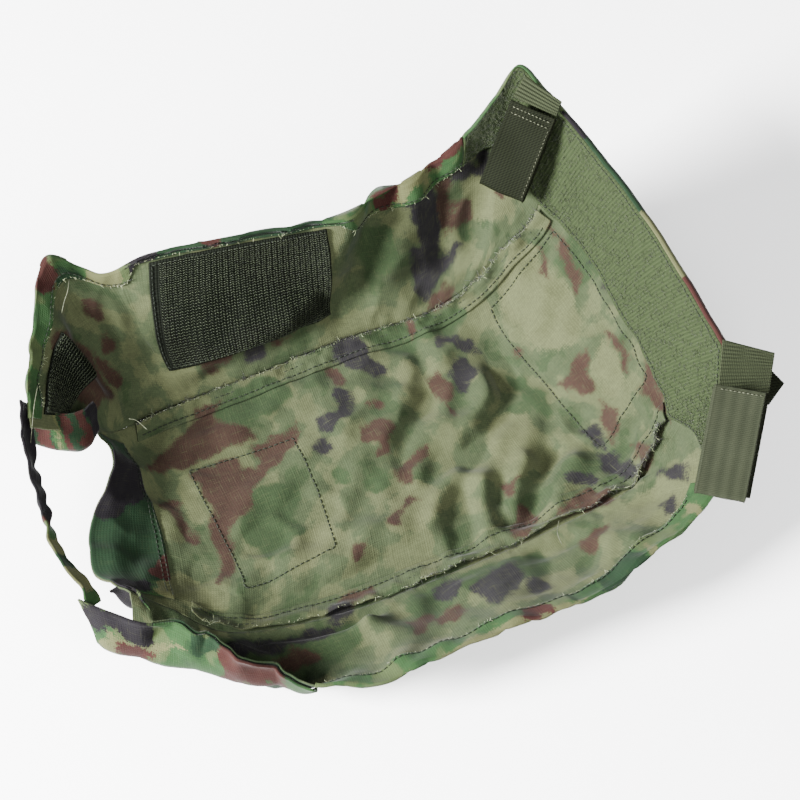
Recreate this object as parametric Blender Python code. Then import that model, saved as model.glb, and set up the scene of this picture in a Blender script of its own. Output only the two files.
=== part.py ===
# Unlined camouflage cloth shell, standing open: floor, end wall, two side walls, straps.
# Frame: metres, +X from the hand opening to the loop band, +Y to the far wall, +Z up.
# The floor outside rests on z = 0, and the origin is the middle of the base patch's underside.
# Control points below are in millimetres, before they are moved by ORIGIN.
import bpy
import numpy as np

# ---- driving dimensions (mm) ----
PLY = 1.0              # one cloth panel
HEM_PLY = 0.9          # turned hem, seam allowance or facing
PATCH_PLY = 1.0        # cloth patch sewn on the outside
TAPE = 1.5             # hook tape and loop tape, backing and pile
GAP = 0.4              # between sewn pieces
SEAM_INSET = 0.011     # share of a grid step that a panel stops short of its seam
STRAP_WIDTH = 22.0
STRAP_PLY = 1.1
TAB_LENGTH = 48.0      # lower strap tab, fold to top edge
UPPER_TAB_LENGTH = 42.0
TAB_GAP = 2.2          # between the two plies of a tab
TAB_UNDER = 1.5        # how far below the fold the under ply ends
THREAD_W = 0.5
THREAD_H = 0.35

ORIGIN = (-44.0, -4.4, 0.0)

# ---- seams: floor and end wall meet the side panels along these ----
FAR = [(-101, 55, 24), (-91, 56, 14), (-66, 61, 6), (-20, 61, 4), (25, 61, 4),
       (62, 57, 5), (88, 57, 16), (105, 60, 32), (126, 66, 47), (144.5, 97, 85)]
NEAR = [(-117, -24, 22), (-104, -34, 13), (-82, -54, 6), (-36, -65, 4), (12, -68, 4),
        (62, -69, 6), (108, -69, 15), (122, -62, 27), (132, -55, 37), (158, -49, 77)]
# ---- centre panel between the seams: row by row, far to near ----
MID = [
    [(-99, 38, 22), (-119, 17, 18), (-127, -6, 18)],
    [(-90, 34, 8), (-92, 10, 6), (-98, -12, 6)],
    [(-72, 33, 1.5), (-72, -4, 1.5), (-73, -32, 1.5)],
    [(-22, 31, 1.5), (-23, -4, 1.5), (-28, -36, 1.5)],
    [(22, 30, 0.6), (22, -2, 0.6), (18, -36, 0.6)],
    [(62, 28, 0.6), (63, -4, 0.6), (64, -38, 0.6)],
    [(90, 31, 3.5), (96, -2, 3), (102, -36, 4.5)],
    [(110, 32, 22), (116, 0, 20), (119, -32, 20)],
    [(134, 40, 44), (136, 6, 41), (136, -25, 39)],
    [(151, 62, 83), (156, 22, 81), (157.5, -16, 79)],
]
# ---- side panels: rim, upper, lower point and the place on the seam, left to right ----
FAR_COLUMNS = [
    ((-130, 54, 50), (-122, 54, 42), (-112, 55, 33), 0.0),
    ((-120, 80, 53), (-112, 74, 42), (-104, 65, 30), 0.35),
    ((-107, 104, 57), (-101, 93, 45), (-93, 77, 26), 0.8),
    ((-92, 127, 60), (-86, 108, 46), (-79, 85, 22), 1.5),
    ((-72, 114, 51), (-68, 103, 40), (-65, 83, 20), 2.0),
    ((-50, 109, 60), (-54, 97, 42), (-57, 80, 20), 2.35),
    ((-10, 100, 62), (-12, 89, 42), (-14, 74, 20), 3.1),
    ((30, 92, 60), (30, 83, 42), (30, 73, 20), 4.1),
    ((58, 94, 59), (57, 84, 42), (56, 71, 20), 4.8),
    ((84, 98, 61), (80, 88, 44), (76, 74, 24), 5.3),
    ((104, 102, 68), (98, 91, 50), (92, 76, 30), 5.6),
    ((124, 110, 78), (112, 92, 56), (100, 73, 34), 5.76),
    ((139, 116, 86), (121, 86, 58), (103, 67, 36), 5.9),
    ((144.5, 97, 85), (126, 66, 47), (105, 60, 32), 6.0),
]
NEAR_COLUMNS = [
    ((-139, -27, 44), (-137, -42, 30), (-131, -38, 22), 0.0),
    ((-126, -40, 43), (-130, -51, 28), (-127, -42, 20), 0.0),
    ((-115, -49, 42), (-121, -57, 26), (-122, -43, 19), 0.0),
    ((-104, -60, 41), (-107, -67, 25), (-104, -54, 14), 0.9),
    ((-92, -71, 39), (-91, -80, 23), (-86, -68, 11), 1.75),
    ((-78, -82, 34), (-76, -89, 20), (-71, -79, 9), 2.15),
    ((-66, -96, 28), (-64, -93, 17), (-60, -82, 8), 2.45),
    ((-38, -111, 30), (-37, -99, 20), (-36, -83, 10), 2.95),
    ((5, -112, 33), (5, -100, 23), (6, -84, 12), 3.85),
    ((47, -115, 34), (46, -103, 24), (45, -87, 13), 4.65),
    ((76, -114, 36), (74, -102, 26), (71, -87, 15), 5.1),
    ((104, -107, 39), (99, -97, 28), (94, -84, 18), 5.45),
    ((128, -99, 43), (120, -90, 32), (111, -80, 21), 5.72),
    ((142, -77, 54), (131, -72.5, 38), (117.5, -73, 24), 5.92),
    ((158, -49, 77), (132, -55, 37), (122, -62, 27), 6.0),
]
NEAR_PANEL_START = 2.0   # the near left band runs on past the panel's own edge
# ---- strip that closes the rim over the hand opening: top and bottom edge ----
STRIP = [
    ((-129.6, 66, 53.0), (-125.0, 65.5, 44.2)),
    ((-134.6, 52, 52.0), (-130.4, 51, 43.0)),
    ((-136.5, 37, 51.0), (-134.0, 36.5, 42.5)),
    ((-139.0, 20, 49.5), (-136.8, 20, 41.0)),
    ((-141.0, 3, 48.0), (-138.3, 4, 39.8)),
    ((-140.5, -12, 46.5), (-136.5, -10, 39.2)),
    ((-138.0, -21, 45.5), (-133.6, -18.5, 38.8)),
]
# ---- straps at the two rim corners ----
UPPER_TAB_TOP = ((127.8, 100.2, 85.6), (141.0, 83.0, 85.0))
UPPER_TAB_DOWN = (-15.5, -20.5, -25.5)
UPPER_ROOT_RIM = ((146.0, 87.4, 89.6), (136.6, 105.8, 91.8))
LOWER_ROOT = ((156.6, -47.9, 79.8), (175.8, -61.0, 74.6), (170.6, -68.6, 67.8), (148.6, -61.4, 69.2))
LOWER_TAB_TOP = ((145.6, -63.6, 74.0), (163.0, -75.2, 72.2))
LOWER_TAB_DOWN = (-16.4, -35.5, -25.4)


def clear_scene():
    for item in list(bpy.data.objects):
        bpy.data.objects.remove(item, do_unlink=True)


def weights(count, samples):
    """Catmull-Rom weights of `count` controls at each sample, straight ends."""
    samples = np.asarray(samples, float).ravel()
    i = np.clip(np.floor(samples).astype(int), 0, count - 2)
    f = samples - i
    terms = [-0.5 * f + f ** 2 - 0.5 * f ** 3,
             1 - 2.5 * f ** 2 + 1.5 * f ** 3,
             0.5 * f + 2 * f ** 2 - 1.5 * f ** 3,
             -0.5 * f ** 2 + 0.5 * f ** 3]
    out = np.zeros((len(samples), count))
    rows = np.arange(len(samples))
    for shift, term in zip((-1, 0, 1, 2), terms):
        j = i + shift
        low = j < 0
        high = j > count - 1
        mid = ~(low | high)
        out[rows[mid], j[mid]] += term[mid]
        out[rows[low], 0] += 2 * term[low]
        out[rows[low], 1] -= term[low]
        out[rows[high], count - 1] += 2 * term[high]
        out[rows[high], count - 2] -= term[high]
    return out


def on_curve(points, samples):
    return weights(len(points), samples) @ np.array(points, float)


class Patch:
    """A smooth surface over a grid of control points; call it with u and v."""

    def __init__(self, controls, side):
        self.controls = np.array(controls, float)
        self.side = side

    def raw(self, u, v):
        wu = weights(self.controls.shape[0], u)
        wv = weights(self.controls.shape[1], v)
        return np.einsum("ki,kj,ijc->kc", wu, wv, self.controls)

    def points(self, u, v):
        u, v = np.broadcast_arrays(np.asarray(u, float), np.asarray(v, float))
        return self.raw(u.ravel(), v.ravel()).reshape(u.shape + (3,))

    def normals(self, u, v):
        u, v = np.broadcast_arrays(np.asarray(u, float), np.asarray(v, float))
        step = 0.02
        top_u = self.controls.shape[0] - 1
        top_v = self.controls.shape[1] - 1
        u0, u1 = np.clip(u - step, 0, top_u), np.clip(u + step, 0, top_u)
        v0, v1 = np.clip(v - step, 0, top_v), np.clip(v + step, 0, top_v)
        across = np.cross(self.points(u1, v) - self.points(u0, v),
                          self.points(u, v1) - self.points(u, v0))
        length = np.linalg.norm(across, axis=-1, keepdims=True)
        return self.side * across / np.maximum(length, 1e-12)


class SidePatch(Patch):
    """A side panel: its lower edge and its right edge lie on the seam curve."""

    def __init__(self, columns, seam, side):
        self.seam = seam
        self.places = [(c[3],) for c in columns]
        grid = [[c[0], c[1], c[2], tuple(on_curve(seam, [c[3]])[0])] for c in columns]
        super().__init__(grid, side)

    def raw(self, u, v):
        out = super().raw(u, v)
        last = self.controls.shape[0] - 1
        place = np.clip(on_curve(self.places, u)[:, 0], 0, 6)
        bottom = on_curve(self.seam, place) - super().raw(u, np.full(len(u), 3.0))
        right = on_curve(self.seam, 9 - v) - super().raw(np.full(len(u), float(last)), v)
        corner = on_curve(self.seam, [6.0]) - super().raw(np.array([float(last)]), np.array([3.0]))
        down = np.clip(v - 2, 0, 1)[:, None]
        along = np.clip(u - (last - 1), 0, 1)[:, None]
        return out + bottom * down + right * along - corner * down * along


FLOOR_HIGH = PLY + GAP + PATCH_PLY
FLOOR_LOW = PLY


class CentrePatch(Patch):
    """The centre panel; its floor is held flat, higher over the base patch."""

    def raw(self, u, v):
        out = super().raw(u, v)
        floor = np.interp(u, [3.25, 4.2], [FLOOR_HIGH, FLOOR_LOW])
        out[:, 2] = np.maximum(out[:, 2], floor)
        return out


CENTRE = CentrePatch([[FAR[i], *MID[i], NEAR[i]] for i in range(10)], -1)
FAR_SIDE = SidePatch(FAR_COLUMNS, FAR, -1)
NEAR_SIDE = SidePatch(NEAR_COLUMNS, NEAR, 1)
FAR_END = len(FAR_COLUMNS) - 1
NEAR_END = len(NEAR_COLUMNS) - 1


def material(name, colour, rough):
    made = bpy.data.materials.new(name)
    made.use_nodes = True
    shader = made.node_tree.nodes["Principled BSDF"]
    shader.inputs["Base Color"].default_value = (*colour, 1.0)
    shader.inputs["Roughness"].default_value = rough
    return made


INSIDE_CLOTH = ("cotton_ripstop", (0.13, 0.15, 0.07), 0.85)
HEM_CLOTH = ("cotton_ripstop_outer", (0.08, 0.16, 0.06), 0.85)
HOOK = ("nylon_hook", (0.02, 0.035, 0.015), 0.6)
LOOP = ("nylon_loop", (0.10, 0.15, 0.05), 0.95)
WEBBING = ("nylon_webbing", (0.07, 0.085, 0.04), 0.8)
ELASTIC = ("elastic_webbing", (0.06, 0.07, 0.035), 0.8)
THREAD = ("polyester_thread", (0.03, 0.04, 0.02), 0.6)


def volume(points, faces):
    total = 0.0
    for face in faces:
        for k in range(1, len(face) - 1):
            a, b, c = points[face[0]], points[face[k]], points[face[k + 1]]
            total += float(np.dot(a, np.cross(b, c)))
    return total


def slab_mesh(low, high):
    """Closed body between two grids of points."""
    n, m = low.shape[:2]
    points = np.concatenate([low.reshape(-1, 3), high.reshape(-1, 3)])
    half = n * m
    faces = []
    for i in range(n - 1):
        for j in range(m - 1):
            a, b, c, d = i * m + j, i * m + j + 1, (i + 1) * m + j + 1, (i + 1) * m + j
            faces.append((a, b, c, d))
            faces.append((half + d, half + c, half + b, half + a))
    ring = list(range(m)) + [i * m + m - 1 for i in range(1, n)]
    ring += [(n - 1) * m + j for j in range(m - 2, -1, -1)] + [i * m for i in range(n - 2, 0, -1)]
    for k, a in enumerate(ring):
        b = ring[(k + 1) % len(ring)]
        faces.append((b, a, half + a, half + b))
    if volume(points, faces) < 0:
        faces = [tuple(reversed(face)) for face in faces]
    return points, faces


def add_node(name, bodies, look, pivot=None):
    """One named object from a list of (points in mm, faces)."""
    points, faces, start = [], [], 0
    for body_points, body_faces in bodies:
        points.append(np.asarray(body_points, float))
        faces += [tuple(i + start for i in face) for face in body_faces]
        start += len(body_points)
    points = (np.concatenate(points) - ORIGIN) / 1000.0
    origin = (np.array(pivot if pivot is not None else ORIGIN, float) - ORIGIN) / 1000.0
    mesh = bpy.data.meshes.new(name)
    mesh.from_pydata((points - origin).tolist(), [], faces)
    mesh.validate()
    mesh.materials.append(material(look[0] + "_" + name, look[1], look[2]))
    item = bpy.data.objects.new(name, mesh)
    item.location = origin.tolist()
    bpy.context.scene.collection.objects.link(item)
    return item


def ply(patch, u, v, low, high):
    """A slab that lies between two offsets of a patch, over grids u and v."""
    points = patch.points(u, v)
    normals = patch.normals(u, v)
    return slab_mesh(points + low * normals, points + high * normals)


def box_grid(u0, u1, v0, v1, nu, nv):
    return np.meshgrid(np.linspace(u0, u1, nu), np.linspace(v0, v1, nv), indexing="ij")


def quad_grid(corners, nu, nv):
    """Grid of (u, v) inside four corners given as (u, v) in order."""
    a, b, c, d = (np.array(p, float) for p in corners)
    s = np.linspace(0, 1, nu)[:, None, None]
    t = np.linspace(0, 1, nv)[None, :, None]
    grid = (1 - s) * ((1 - t) * a + t * d) + s * ((1 - t) * b + t * c)
    return grid[..., 0], grid[..., 1]


def edged_grid(samples, start, stop, rows):
    """Grid over u samples whose v runs from start(u) to stop(u)."""
    u = np.asarray(samples, float)
    t = np.linspace(0, 1, rows)
    begin = np.array([start(x) for x in u])
    end = np.array([stop(x) for x in u])
    return np.repeat(u[:, None], rows, 1), begin[:, None] + (end - begin)[:, None] * t[None]


def stations(*runs):
    """Sample values from runs of (start, stop, number of steps)."""
    parts = [np.linspace(a, b, n, endpoint=False) for a, b, n in runs]
    return np.concatenate(parts + [np.array([runs[-1][1]])])


CENTRE_U = stations((0, 2, 10), (2, 5, 9), (5, 8, 18), (8, 9, 4))
CENTRE_V = stations((SEAM_INSET, 0.4, 3), (0.4, 3.6, 14), (3.6, 4 - SEAM_INSET, 3))


def between(samples, low, high):
    """The samples inside a range, with the range's own ends."""
    kept = [x for x in samples if low + 0.02 < x < high - 0.02]
    return np.array([low, *kept, high])


def ramp(x, knots):
    return float(np.interp(x, [k[0] for k in knots], [k[1] for k in knots]))


def thread_row(patch, path, low):
    """A flat ribbon of thread along a path of (u, v), lying on the cloth."""
    path = np.array(path, float)
    centre = patch.points(path[:, 0], path[:, 1])
    normal = patch.normals(path[:, 0], path[:, 1])
    along = np.gradient(centre, axis=0)
    along /= np.maximum(np.linalg.norm(along, axis=1, keepdims=True), 1e-9)
    across = np.cross(along, normal)
    edge = np.stack([centre - across * THREAD_W / 2, centre + across * THREAD_W / 2], 1)
    lift = normal[:, None, :]
    return slab_mesh(edge + low * lift, edge + (low + THREAD_H) * lift)


def path_between(corners, count):
    """Evenly spaced (u, v) along straight runs between corners."""
    out = []
    for a, b in zip(corners[:-1], corners[1:]):
        t = np.linspace(0, 1, count, endpoint=False)[:, None]
        out.append((1 - t) * np.array(a, float) + t * np.array(b, float))
    out.append(np.array([corners[-1]], float))
    return np.concatenate(out)


def centre_panel():
    u, v = np.meshgrid(CENTRE_U, CENTRE_V, indexing="ij")
    add_node("center_panel", [ply(CENTRE, u, v, -PLY, 0.0)], INSIDE_CLOTH)


def side_panels():
    knots = [(0, 2.93), (2.5, 2.975), (4, 2.984)]
    u, v = edged_grid(np.linspace(0.05, FAR_END - 0.018, 53), lambda x: 0.0, lambda x: ramp(x, knots), 10)
    add_node("far_side_panel", [ply(FAR_SIDE, u, v, -PLY, 0.0)], INSIDE_CLOTH)
    knots = [(2, 2.90), (3.5, 2.97), (5, 2.984)]
    samples = np.linspace(NEAR_PANEL_START, NEAR_END - 0.018, 49)
    u, v = edged_grid(samples, lambda x: 0.0, lambda x: ramp(x, knots), 10)
    add_node("near_side_panel", [ply(NEAR_SIDE, u, v, -PLY, 0.0)], INSIDE_CLOTH)


def left_edge_pieces():
    top = np.array([p[0] for p in STRIP], float)
    low = np.array([p[1] for p in STRIP], float)
    s = np.linspace(0, len(STRIP) - 1, 25)
    rows = np.stack([on_curve(top, s), on_curve((top + low) / 2, s), on_curve(low, s)], 1)
    face = np.cross(np.gradient(rows, axis=0), np.gradient(rows, axis=1))
    face /= np.linalg.norm(face, axis=2, keepdims=True)
    add_node("hand_opening_band", [slab_mesh(rows - face * 0.7, rows + face * 0.7)], HEM_CLOTH)
    u, v = box_grid(0.0, 6.1, 0.0, 1.0, 26, 5)
    base = -(PLY + GAP)
    add_node("near_left_band", [ply(NEAR_SIDE, u, v, base - 1.4, base)], HEM_CLOTH)
    u, v = quad_grid([(0.06, 0.5), (1.02, 0.5), (1.2, 3.75), (0.06, 3.75)], 9, 17)
    add_node("left_facing", [ply(CENTRE, u, v, GAP, GAP + HEM_PLY)], HEM_CLOTH)


def seam_allowances():
    u, v = edged_grid(between(CENTRE_U, 1.4, 7.88), lambda x: 0.03, lambda x: 0.34, 3)
    add_node("far_seam_allowance", [ply(CENTRE, u, v, GAP, GAP + HEM_PLY)], INSIDE_CLOTH)
    u, v = edged_grid(between(CENTRE_U, 1.4, 7.88), lambda x: 3.66, lambda x: 3.97, 3)
    add_node("near_seam_allowance", [ply(CENTRE, u, v, GAP, GAP + HEM_PLY)], INSIDE_CLOTH)


def rim_hems():
    knots = [(0.3, 0.5), (3.0, 0.55), (4.5, 0.5), (4.75, 0.12), (7.15, 0.12), (7.4, 0.5), (9.9, 0.62)]
    u, v = edged_grid(np.linspace(0.35, 9.85, 39), lambda x: 0.03, lambda x: ramp(x, knots), 3)
    add_node("far_rim_hem", [ply(FAR_SIDE, u, v, GAP, GAP + HEM_PLY)], HEM_CLOTH)
    knots = [(6.3, 0.5), (9.0, 0.55), (11.2, 0.85), (12.1, 0.9)]
    u, v = edged_grid(np.linspace(6.3, 12.05, 24), lambda x: 0.03, lambda x: ramp(x, knots), 3)
    add_node("near_rim_hem", [ply(NEAR_SIDE, u, v, GAP, GAP + HEM_PLY)], HEM_CLOTH)


HOOK_CORNERS = [(4.98, 0.17), (6.97, 0.17), (6.8, 2.36), (4.88, 2.30)]
CORNER_TAPE = [(0.3, 0.62), (2.05, 0.85), (2.25, 1.95), (0.42, 1.62)]


def hook_tapes():
    u, v = quad_grid(HOOK_CORNERS, 13, 9)
    add_node("hook_patch", [ply(FAR_SIDE, u, v, GAP, GAP + TAPE)], HOOK)
    u, v = quad_grid(CORNER_TAPE, 11, 6)
    add_node("corner_hook_tape", [ply(FAR_SIDE, u, v, GAP, GAP + TAPE)], HOOK)


FAR_BAND = [(9.95, 0.62), (11.0, 0.78), (12.0, 0.92), (13.0, 0.985)]
NEAR_BAND = [(12.25, 0.05), (13.0, 0.55), (13.5, 0.8), (14.0, 0.985)]


def band_rows(d0, d1, rows):
    """Points and normals of the loop band, from the far end round to the near end."""
    d = np.linspace(d0, d1, rows)
    points, normals = [], []
    for x in np.linspace(9.98, FAR_END, 13):
        v = d * ramp(x, FAR_BAND)
        points.append(FAR_SIDE.points(np.full(rows, x), v))
        normals.append(FAR_SIDE.normals(np.full(rows, x), v))
    seam_normals = [normals.pop()]
    points.pop()
    for y in np.linspace(0, 4, 21):
        points.append(CENTRE.points(9 - d * 0.985, np.full(rows, y)))
        normals.append(CENTRE.normals(9 - d * 0.985, np.full(rows, y)))
    for x in np.linspace(NEAR_END, 12.27, 9):
        v = d * ramp(x, NEAR_BAND)
        points.append(NEAR_SIDE.points(np.full(rows, x), v))
        normals.append(NEAR_SIDE.normals(np.full(rows, x), v))
    seam_normals.append(normals.pop(12 + 21))
    points.pop(12 + 21)
    normals[12] = normals[12] + seam_normals[0]
    normals[12 + 20] = normals[12 + 20] + seam_normals[1]
    points, normals = np.array(points), np.array(normals)
    normals /= np.linalg.norm(normals, axis=2, keepdims=True)
    for _ in range(2):
        normals[1:-1] = (normals[:-2] + 2 * normals[1:-1] + normals[2:]) / 4
        normals /= np.linalg.norm(normals, axis=2, keepdims=True)
    return points, normals


def loop_band():
    points, normals = band_rows(0.035, 1.0, 9)
    body = slab_mesh(points + GAP * normals, points + (GAP + TAPE) * normals)
    add_node("loop_band", [body], LOOP)


BASE_PATCH = [(2.06, 1.05), (3.1, 1.15), (3.12, 3.05), (2.1, 3.25)]
END_PATCH = [(6.06, 0.42), (8.08, 0.30), (8.1, 3.3), (6.04, 3.3)]
END_STITCH = [(6.14, 0.53), (7.86, 0.43), (7.86, 3.14), (6.12, 3.2)]


def outside_patches():
    top = -(PLY + GAP)
    u, v = quad_grid(BASE_PATCH, 7, 7)
    add_node("base_patch", [ply(CENTRE, u, v, top - PATCH_PLY, top)], HEM_CLOTH)
    u, v = quad_grid(END_PATCH, 11, 11)
    add_node("end_patch", [ply(CENTRE, u, v, top - PATCH_PLY, top)], HEM_CLOTH)


def strap_tab(name, top, down, length):
    """Webbing folded into two plies, closed round at the bottom; pivot at its top."""
    a, b = np.array(top[0], float), np.array(top[1], float)
    across = (b - a) / np.linalg.norm(b - a)
    fall = np.array(down, float)
    fall -= across * np.dot(fall, across)
    fall /= np.linalg.norm(fall)
    out = np.cross(fall, across)
    out *= 1 if out[2] > 0 else -1
    middle = (a + b) / 2
    half = STRAP_WIDTH / 2
    reach = TAB_GAP / 2 + STRAP_PLY / 2      # how far each ply's middle stands off the tab's
    line = [(k, reach) for k in np.linspace(0, length - reach, 9)]
    turn = np.linspace(0, np.pi, 7)[1:-1]
    line += [(length - reach + reach * np.sin(t), reach * np.cos(t)) for t in turn]
    line += [(k, -reach) for k in np.linspace(length - reach, TAB_UNDER, 9)]
    line = np.array(line)
    step = np.gradient(line, axis=0)
    step /= np.linalg.norm(step, axis=1, keepdims=True)
    side = np.stack([-step[:, 1], step[:, 0]], 1)

    def lifted(shift):
        flat = line + side * shift
        spine = middle + flat[:, :1] * fall + flat[:, 1:] * out
        return np.stack([spine + across * w for w in np.linspace(-half, half, 5)], 1)

    body = slab_mesh(lifted(-STRAP_PLY / 2), lifted(STRAP_PLY / 2))
    add_node(name, [body], WEBBING, pivot=middle + out * reach)
    return middle, across, fall


def straps():
    middle, across, fall = strap_tab("upper_strap_tab", UPPER_TAB_TOP, UPPER_TAB_DOWN, UPPER_TAB_LENGTH)
    upper_root(middle, across, fall)
    strap_tab("lower_strap_tab", LOWER_TAB_TOP, LOWER_TAB_DOWN, TAB_LENGTH)
    add_node("lower_strap_root", [grid_slab(LOWER_ROOT, 9, 9, STRAP_PLY)], ELASTIC)


def grid_slab(corners, nu, nv, thick):
    a, b, c, d = (np.array(p, float) for p in corners)
    s = np.linspace(0, 1, nu)[:, None, None]
    t = np.linspace(0, 1, nv)[None, :, None]
    grid = (1 - s) * ((1 - t) * a + t * d) + s * ((1 - t) * b + t * c)
    face = np.cross(np.gradient(grid, axis=0), np.gradient(grid, axis=1))
    face /= np.linalg.norm(face, axis=2, keepdims=True)
    return slab_mesh(grid - face * thick / 2, grid + face * thick / 2)


def upper_root(middle, across, fall):
    half = STRAP_WIDTH / 2
    lower = middle - fall * 1.0
    corners = [lower - across * half, lower + across * half, *UPPER_ROOT_RIM]
    add_node("upper_strap_root", [grid_slab(corners, 9, 9, STRAP_PLY)], ELASTIC)


def double_row(patch, start, stop, sideways, count, low):
    """Two parallel rows sewn as one run, joined by a short turn at the far end."""
    start, stop, sideways = (np.array(p, float) for p in (start, stop, sideways))
    t = np.linspace(0, 1, count)[:, None]
    out = start + (stop - start) * t
    turn = [stop + sideways * 0.5 + (stop - start) * 0.004]
    return [thread_row(patch, np.concatenate([out, turn, out[::-1] + sideways]), low)]


def seam_threads():
    high = GAP + HEM_PLY + GAP
    add_node("far_seam_thread", double_row(CENTRE, (1.5, 0.14), (7.8, 0.14), (0, 0.12), 60, high), THREAD)
    add_node("near_seam_thread", double_row(CENTRE, (1.5, 3.86), (7.8, 3.86), (0, -0.12), 60, high), THREAD)
    add_node("facing_thread", double_row(CENTRE, (0.88, 0.62), (1.05, 3.6), (0.08, 0), 26, high), THREAD)


def inner_corners(corners, share):
    centre = np.mean(np.array(corners, float), axis=0)
    return [tuple(centre + (np.array(c, float) - centre) * share) for c in corners]


def patch_threads():
    def loop(patch, corners, share, count, low):
        inner = inner_corners(corners, share)
        start = tuple(0.04 * np.array(inner[3]) + 0.96 * np.array(inner[0]))
        return [thread_row(patch, path_between([*inner, start], count), low)]

    top = GAP + TAPE + GAP
    add_node("base_patch_thread", loop(CENTRE, BASE_PATCH, 0.93, 12, GAP), THREAD)
    add_node("end_patch_thread", loop(CENTRE, END_STITCH, 1.0, 18, GAP), THREAD)
    add_node("hook_patch_thread", loop(FAR_SIDE, HOOK_CORNERS, 0.93, 16, top), THREAD)


clear_scene()
centre_panel()
side_panels()
left_edge_pieces()
seam_allowances()
rim_hems()
hook_tapes()
loop_band()
outside_patches()
straps()
seam_threads()
patch_threads()
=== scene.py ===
import math

import bpy
import mathutils
import numpy as np
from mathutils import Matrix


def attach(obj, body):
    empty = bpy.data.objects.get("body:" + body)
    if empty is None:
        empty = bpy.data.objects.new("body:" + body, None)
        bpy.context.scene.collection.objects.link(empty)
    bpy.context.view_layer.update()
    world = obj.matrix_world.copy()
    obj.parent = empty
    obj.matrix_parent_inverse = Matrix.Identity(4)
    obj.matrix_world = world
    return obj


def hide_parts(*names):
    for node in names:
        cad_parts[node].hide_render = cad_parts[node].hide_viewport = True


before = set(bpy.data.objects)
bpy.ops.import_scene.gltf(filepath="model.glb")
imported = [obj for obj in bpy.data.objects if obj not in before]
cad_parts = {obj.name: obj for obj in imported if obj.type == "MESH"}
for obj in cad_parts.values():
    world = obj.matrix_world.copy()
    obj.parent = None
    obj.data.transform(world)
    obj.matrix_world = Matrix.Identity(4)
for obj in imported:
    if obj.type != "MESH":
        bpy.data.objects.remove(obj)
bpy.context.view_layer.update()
ORIGIN = np.array([-44.0, -4.4, 0.0])

# ---- seams and control grids, as in the part ----
FAR = [(-101, 55, 24), (-91, 56, 14), (-66, 61, 6), (-20, 61, 4), (25, 61, 4),
       (62, 57, 5), (88, 57, 16), (105, 60, 32), (126, 66, 47), (144.5, 97, 85)]
NEAR = [(-117, -24, 22), (-104, -34, 13), (-82, -54, 6), (-36, -65, 4), (12, -68, 4),
        (62, -69, 6), (108, -69, 15), (122, -62, 27), (132, -55, 37), (158, -49, 77)]
MID = [
    [(-99, 38, 22), (-119, 17, 18), (-127, -6, 18)],
    [(-90, 34, 8), (-92, 10, 6), (-98, -12, 6)],
    [(-72, 33, 1.5), (-72, -4, 1.5), (-73, -32, 1.5)],
    [(-22, 31, 1.5), (-23, -4, 1.5), (-28, -36, 1.5)],
    [(22, 30, 0.6), (22, -2, 0.6), (18, -36, 0.6)],
    [(62, 28, 0.6), (63, -4, 0.6), (64, -38, 0.6)],
    [(90, 31, 3.5), (96, -2, 3), (102, -36, 4.5)],
    [(110, 32, 22), (116, 0, 20), (119, -32, 20)],
    [(134, 40, 44), (136, 6, 41), (136, -25, 39)],
    [(151, 62, 83), (156, 22, 81), (157.5, -16, 79)],
]
FAR_COLUMNS = [
    ((-130, 54, 50), (-122, 54, 42), (-112, 55, 33), 0.0),
    ((-120, 80, 53), (-112, 74, 42), (-104, 65, 30), 0.35),
    ((-107, 104, 57), (-101, 93, 45), (-93, 77, 26), 0.8),
    ((-92, 127, 60), (-86, 108, 46), (-79, 85, 22), 1.5),
    ((-72, 114, 51), (-68, 103, 40), (-65, 83, 20), 2.0),
    ((-50, 109, 60), (-54, 97, 42), (-57, 80, 20), 2.35),
    ((-10, 100, 62), (-12, 89, 42), (-14, 74, 20), 3.1),
    ((30, 92, 60), (30, 83, 42), (30, 73, 20), 4.1),
    ((58, 94, 59), (57, 84, 42), (56, 71, 20), 4.8),
    ((84, 98, 61), (80, 88, 44), (76, 74, 24), 5.3),
    ((104, 102, 68), (98, 91, 50), (92, 76, 30), 5.6),
    ((124, 110, 78), (112, 92, 56), (100, 73, 34), 5.76),
    ((139, 116, 86), (121, 86, 58), (103, 67, 36), 5.9),
    ((144.5, 97, 85), (126, 66, 47), (105, 60, 32), 6.0),
]
NEAR_COLUMNS = [
    ((-139, -27, 44), (-137, -42, 30), (-131, -38, 22), 0.0),
    ((-126, -40, 43), (-130, -51, 28), (-127, -42, 20), 0.0),
    ((-115, -49, 42), (-121, -57, 26), (-122, -43, 19), 0.0),
    ((-104, -60, 41), (-107, -67, 25), (-104, -54, 14), 0.9),
    ((-92, -71, 39), (-91, -80, 23), (-86, -68, 11), 1.75),
    ((-78, -82, 34), (-76, -89, 20), (-71, -79, 9), 2.15),
    ((-66, -96, 28), (-64, -93, 17), (-60, -82, 8), 2.45),
    ((-38, -111, 30), (-37, -99, 20), (-36, -83, 10), 2.95),
    ((5, -112, 33), (5, -100, 23), (6, -84, 12), 3.85),
    ((47, -115, 34), (46, -103, 24), (45, -87, 13), 4.65),
    ((76, -114, 36), (74, -102, 26), (71, -87, 15), 5.1),
    ((104, -107, 39), (99, -97, 28), (94, -84, 18), 5.45),
    ((128, -99, 43), (120, -90, 32), (111, -80, 21), 5.72),
    ((142, -77, 54), (131, -72.5, 38), (117.5, -73, 24), 5.92),
    ((158, -49, 77), (132, -55, 37), (122, -62, 27), 6.0),
]
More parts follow.
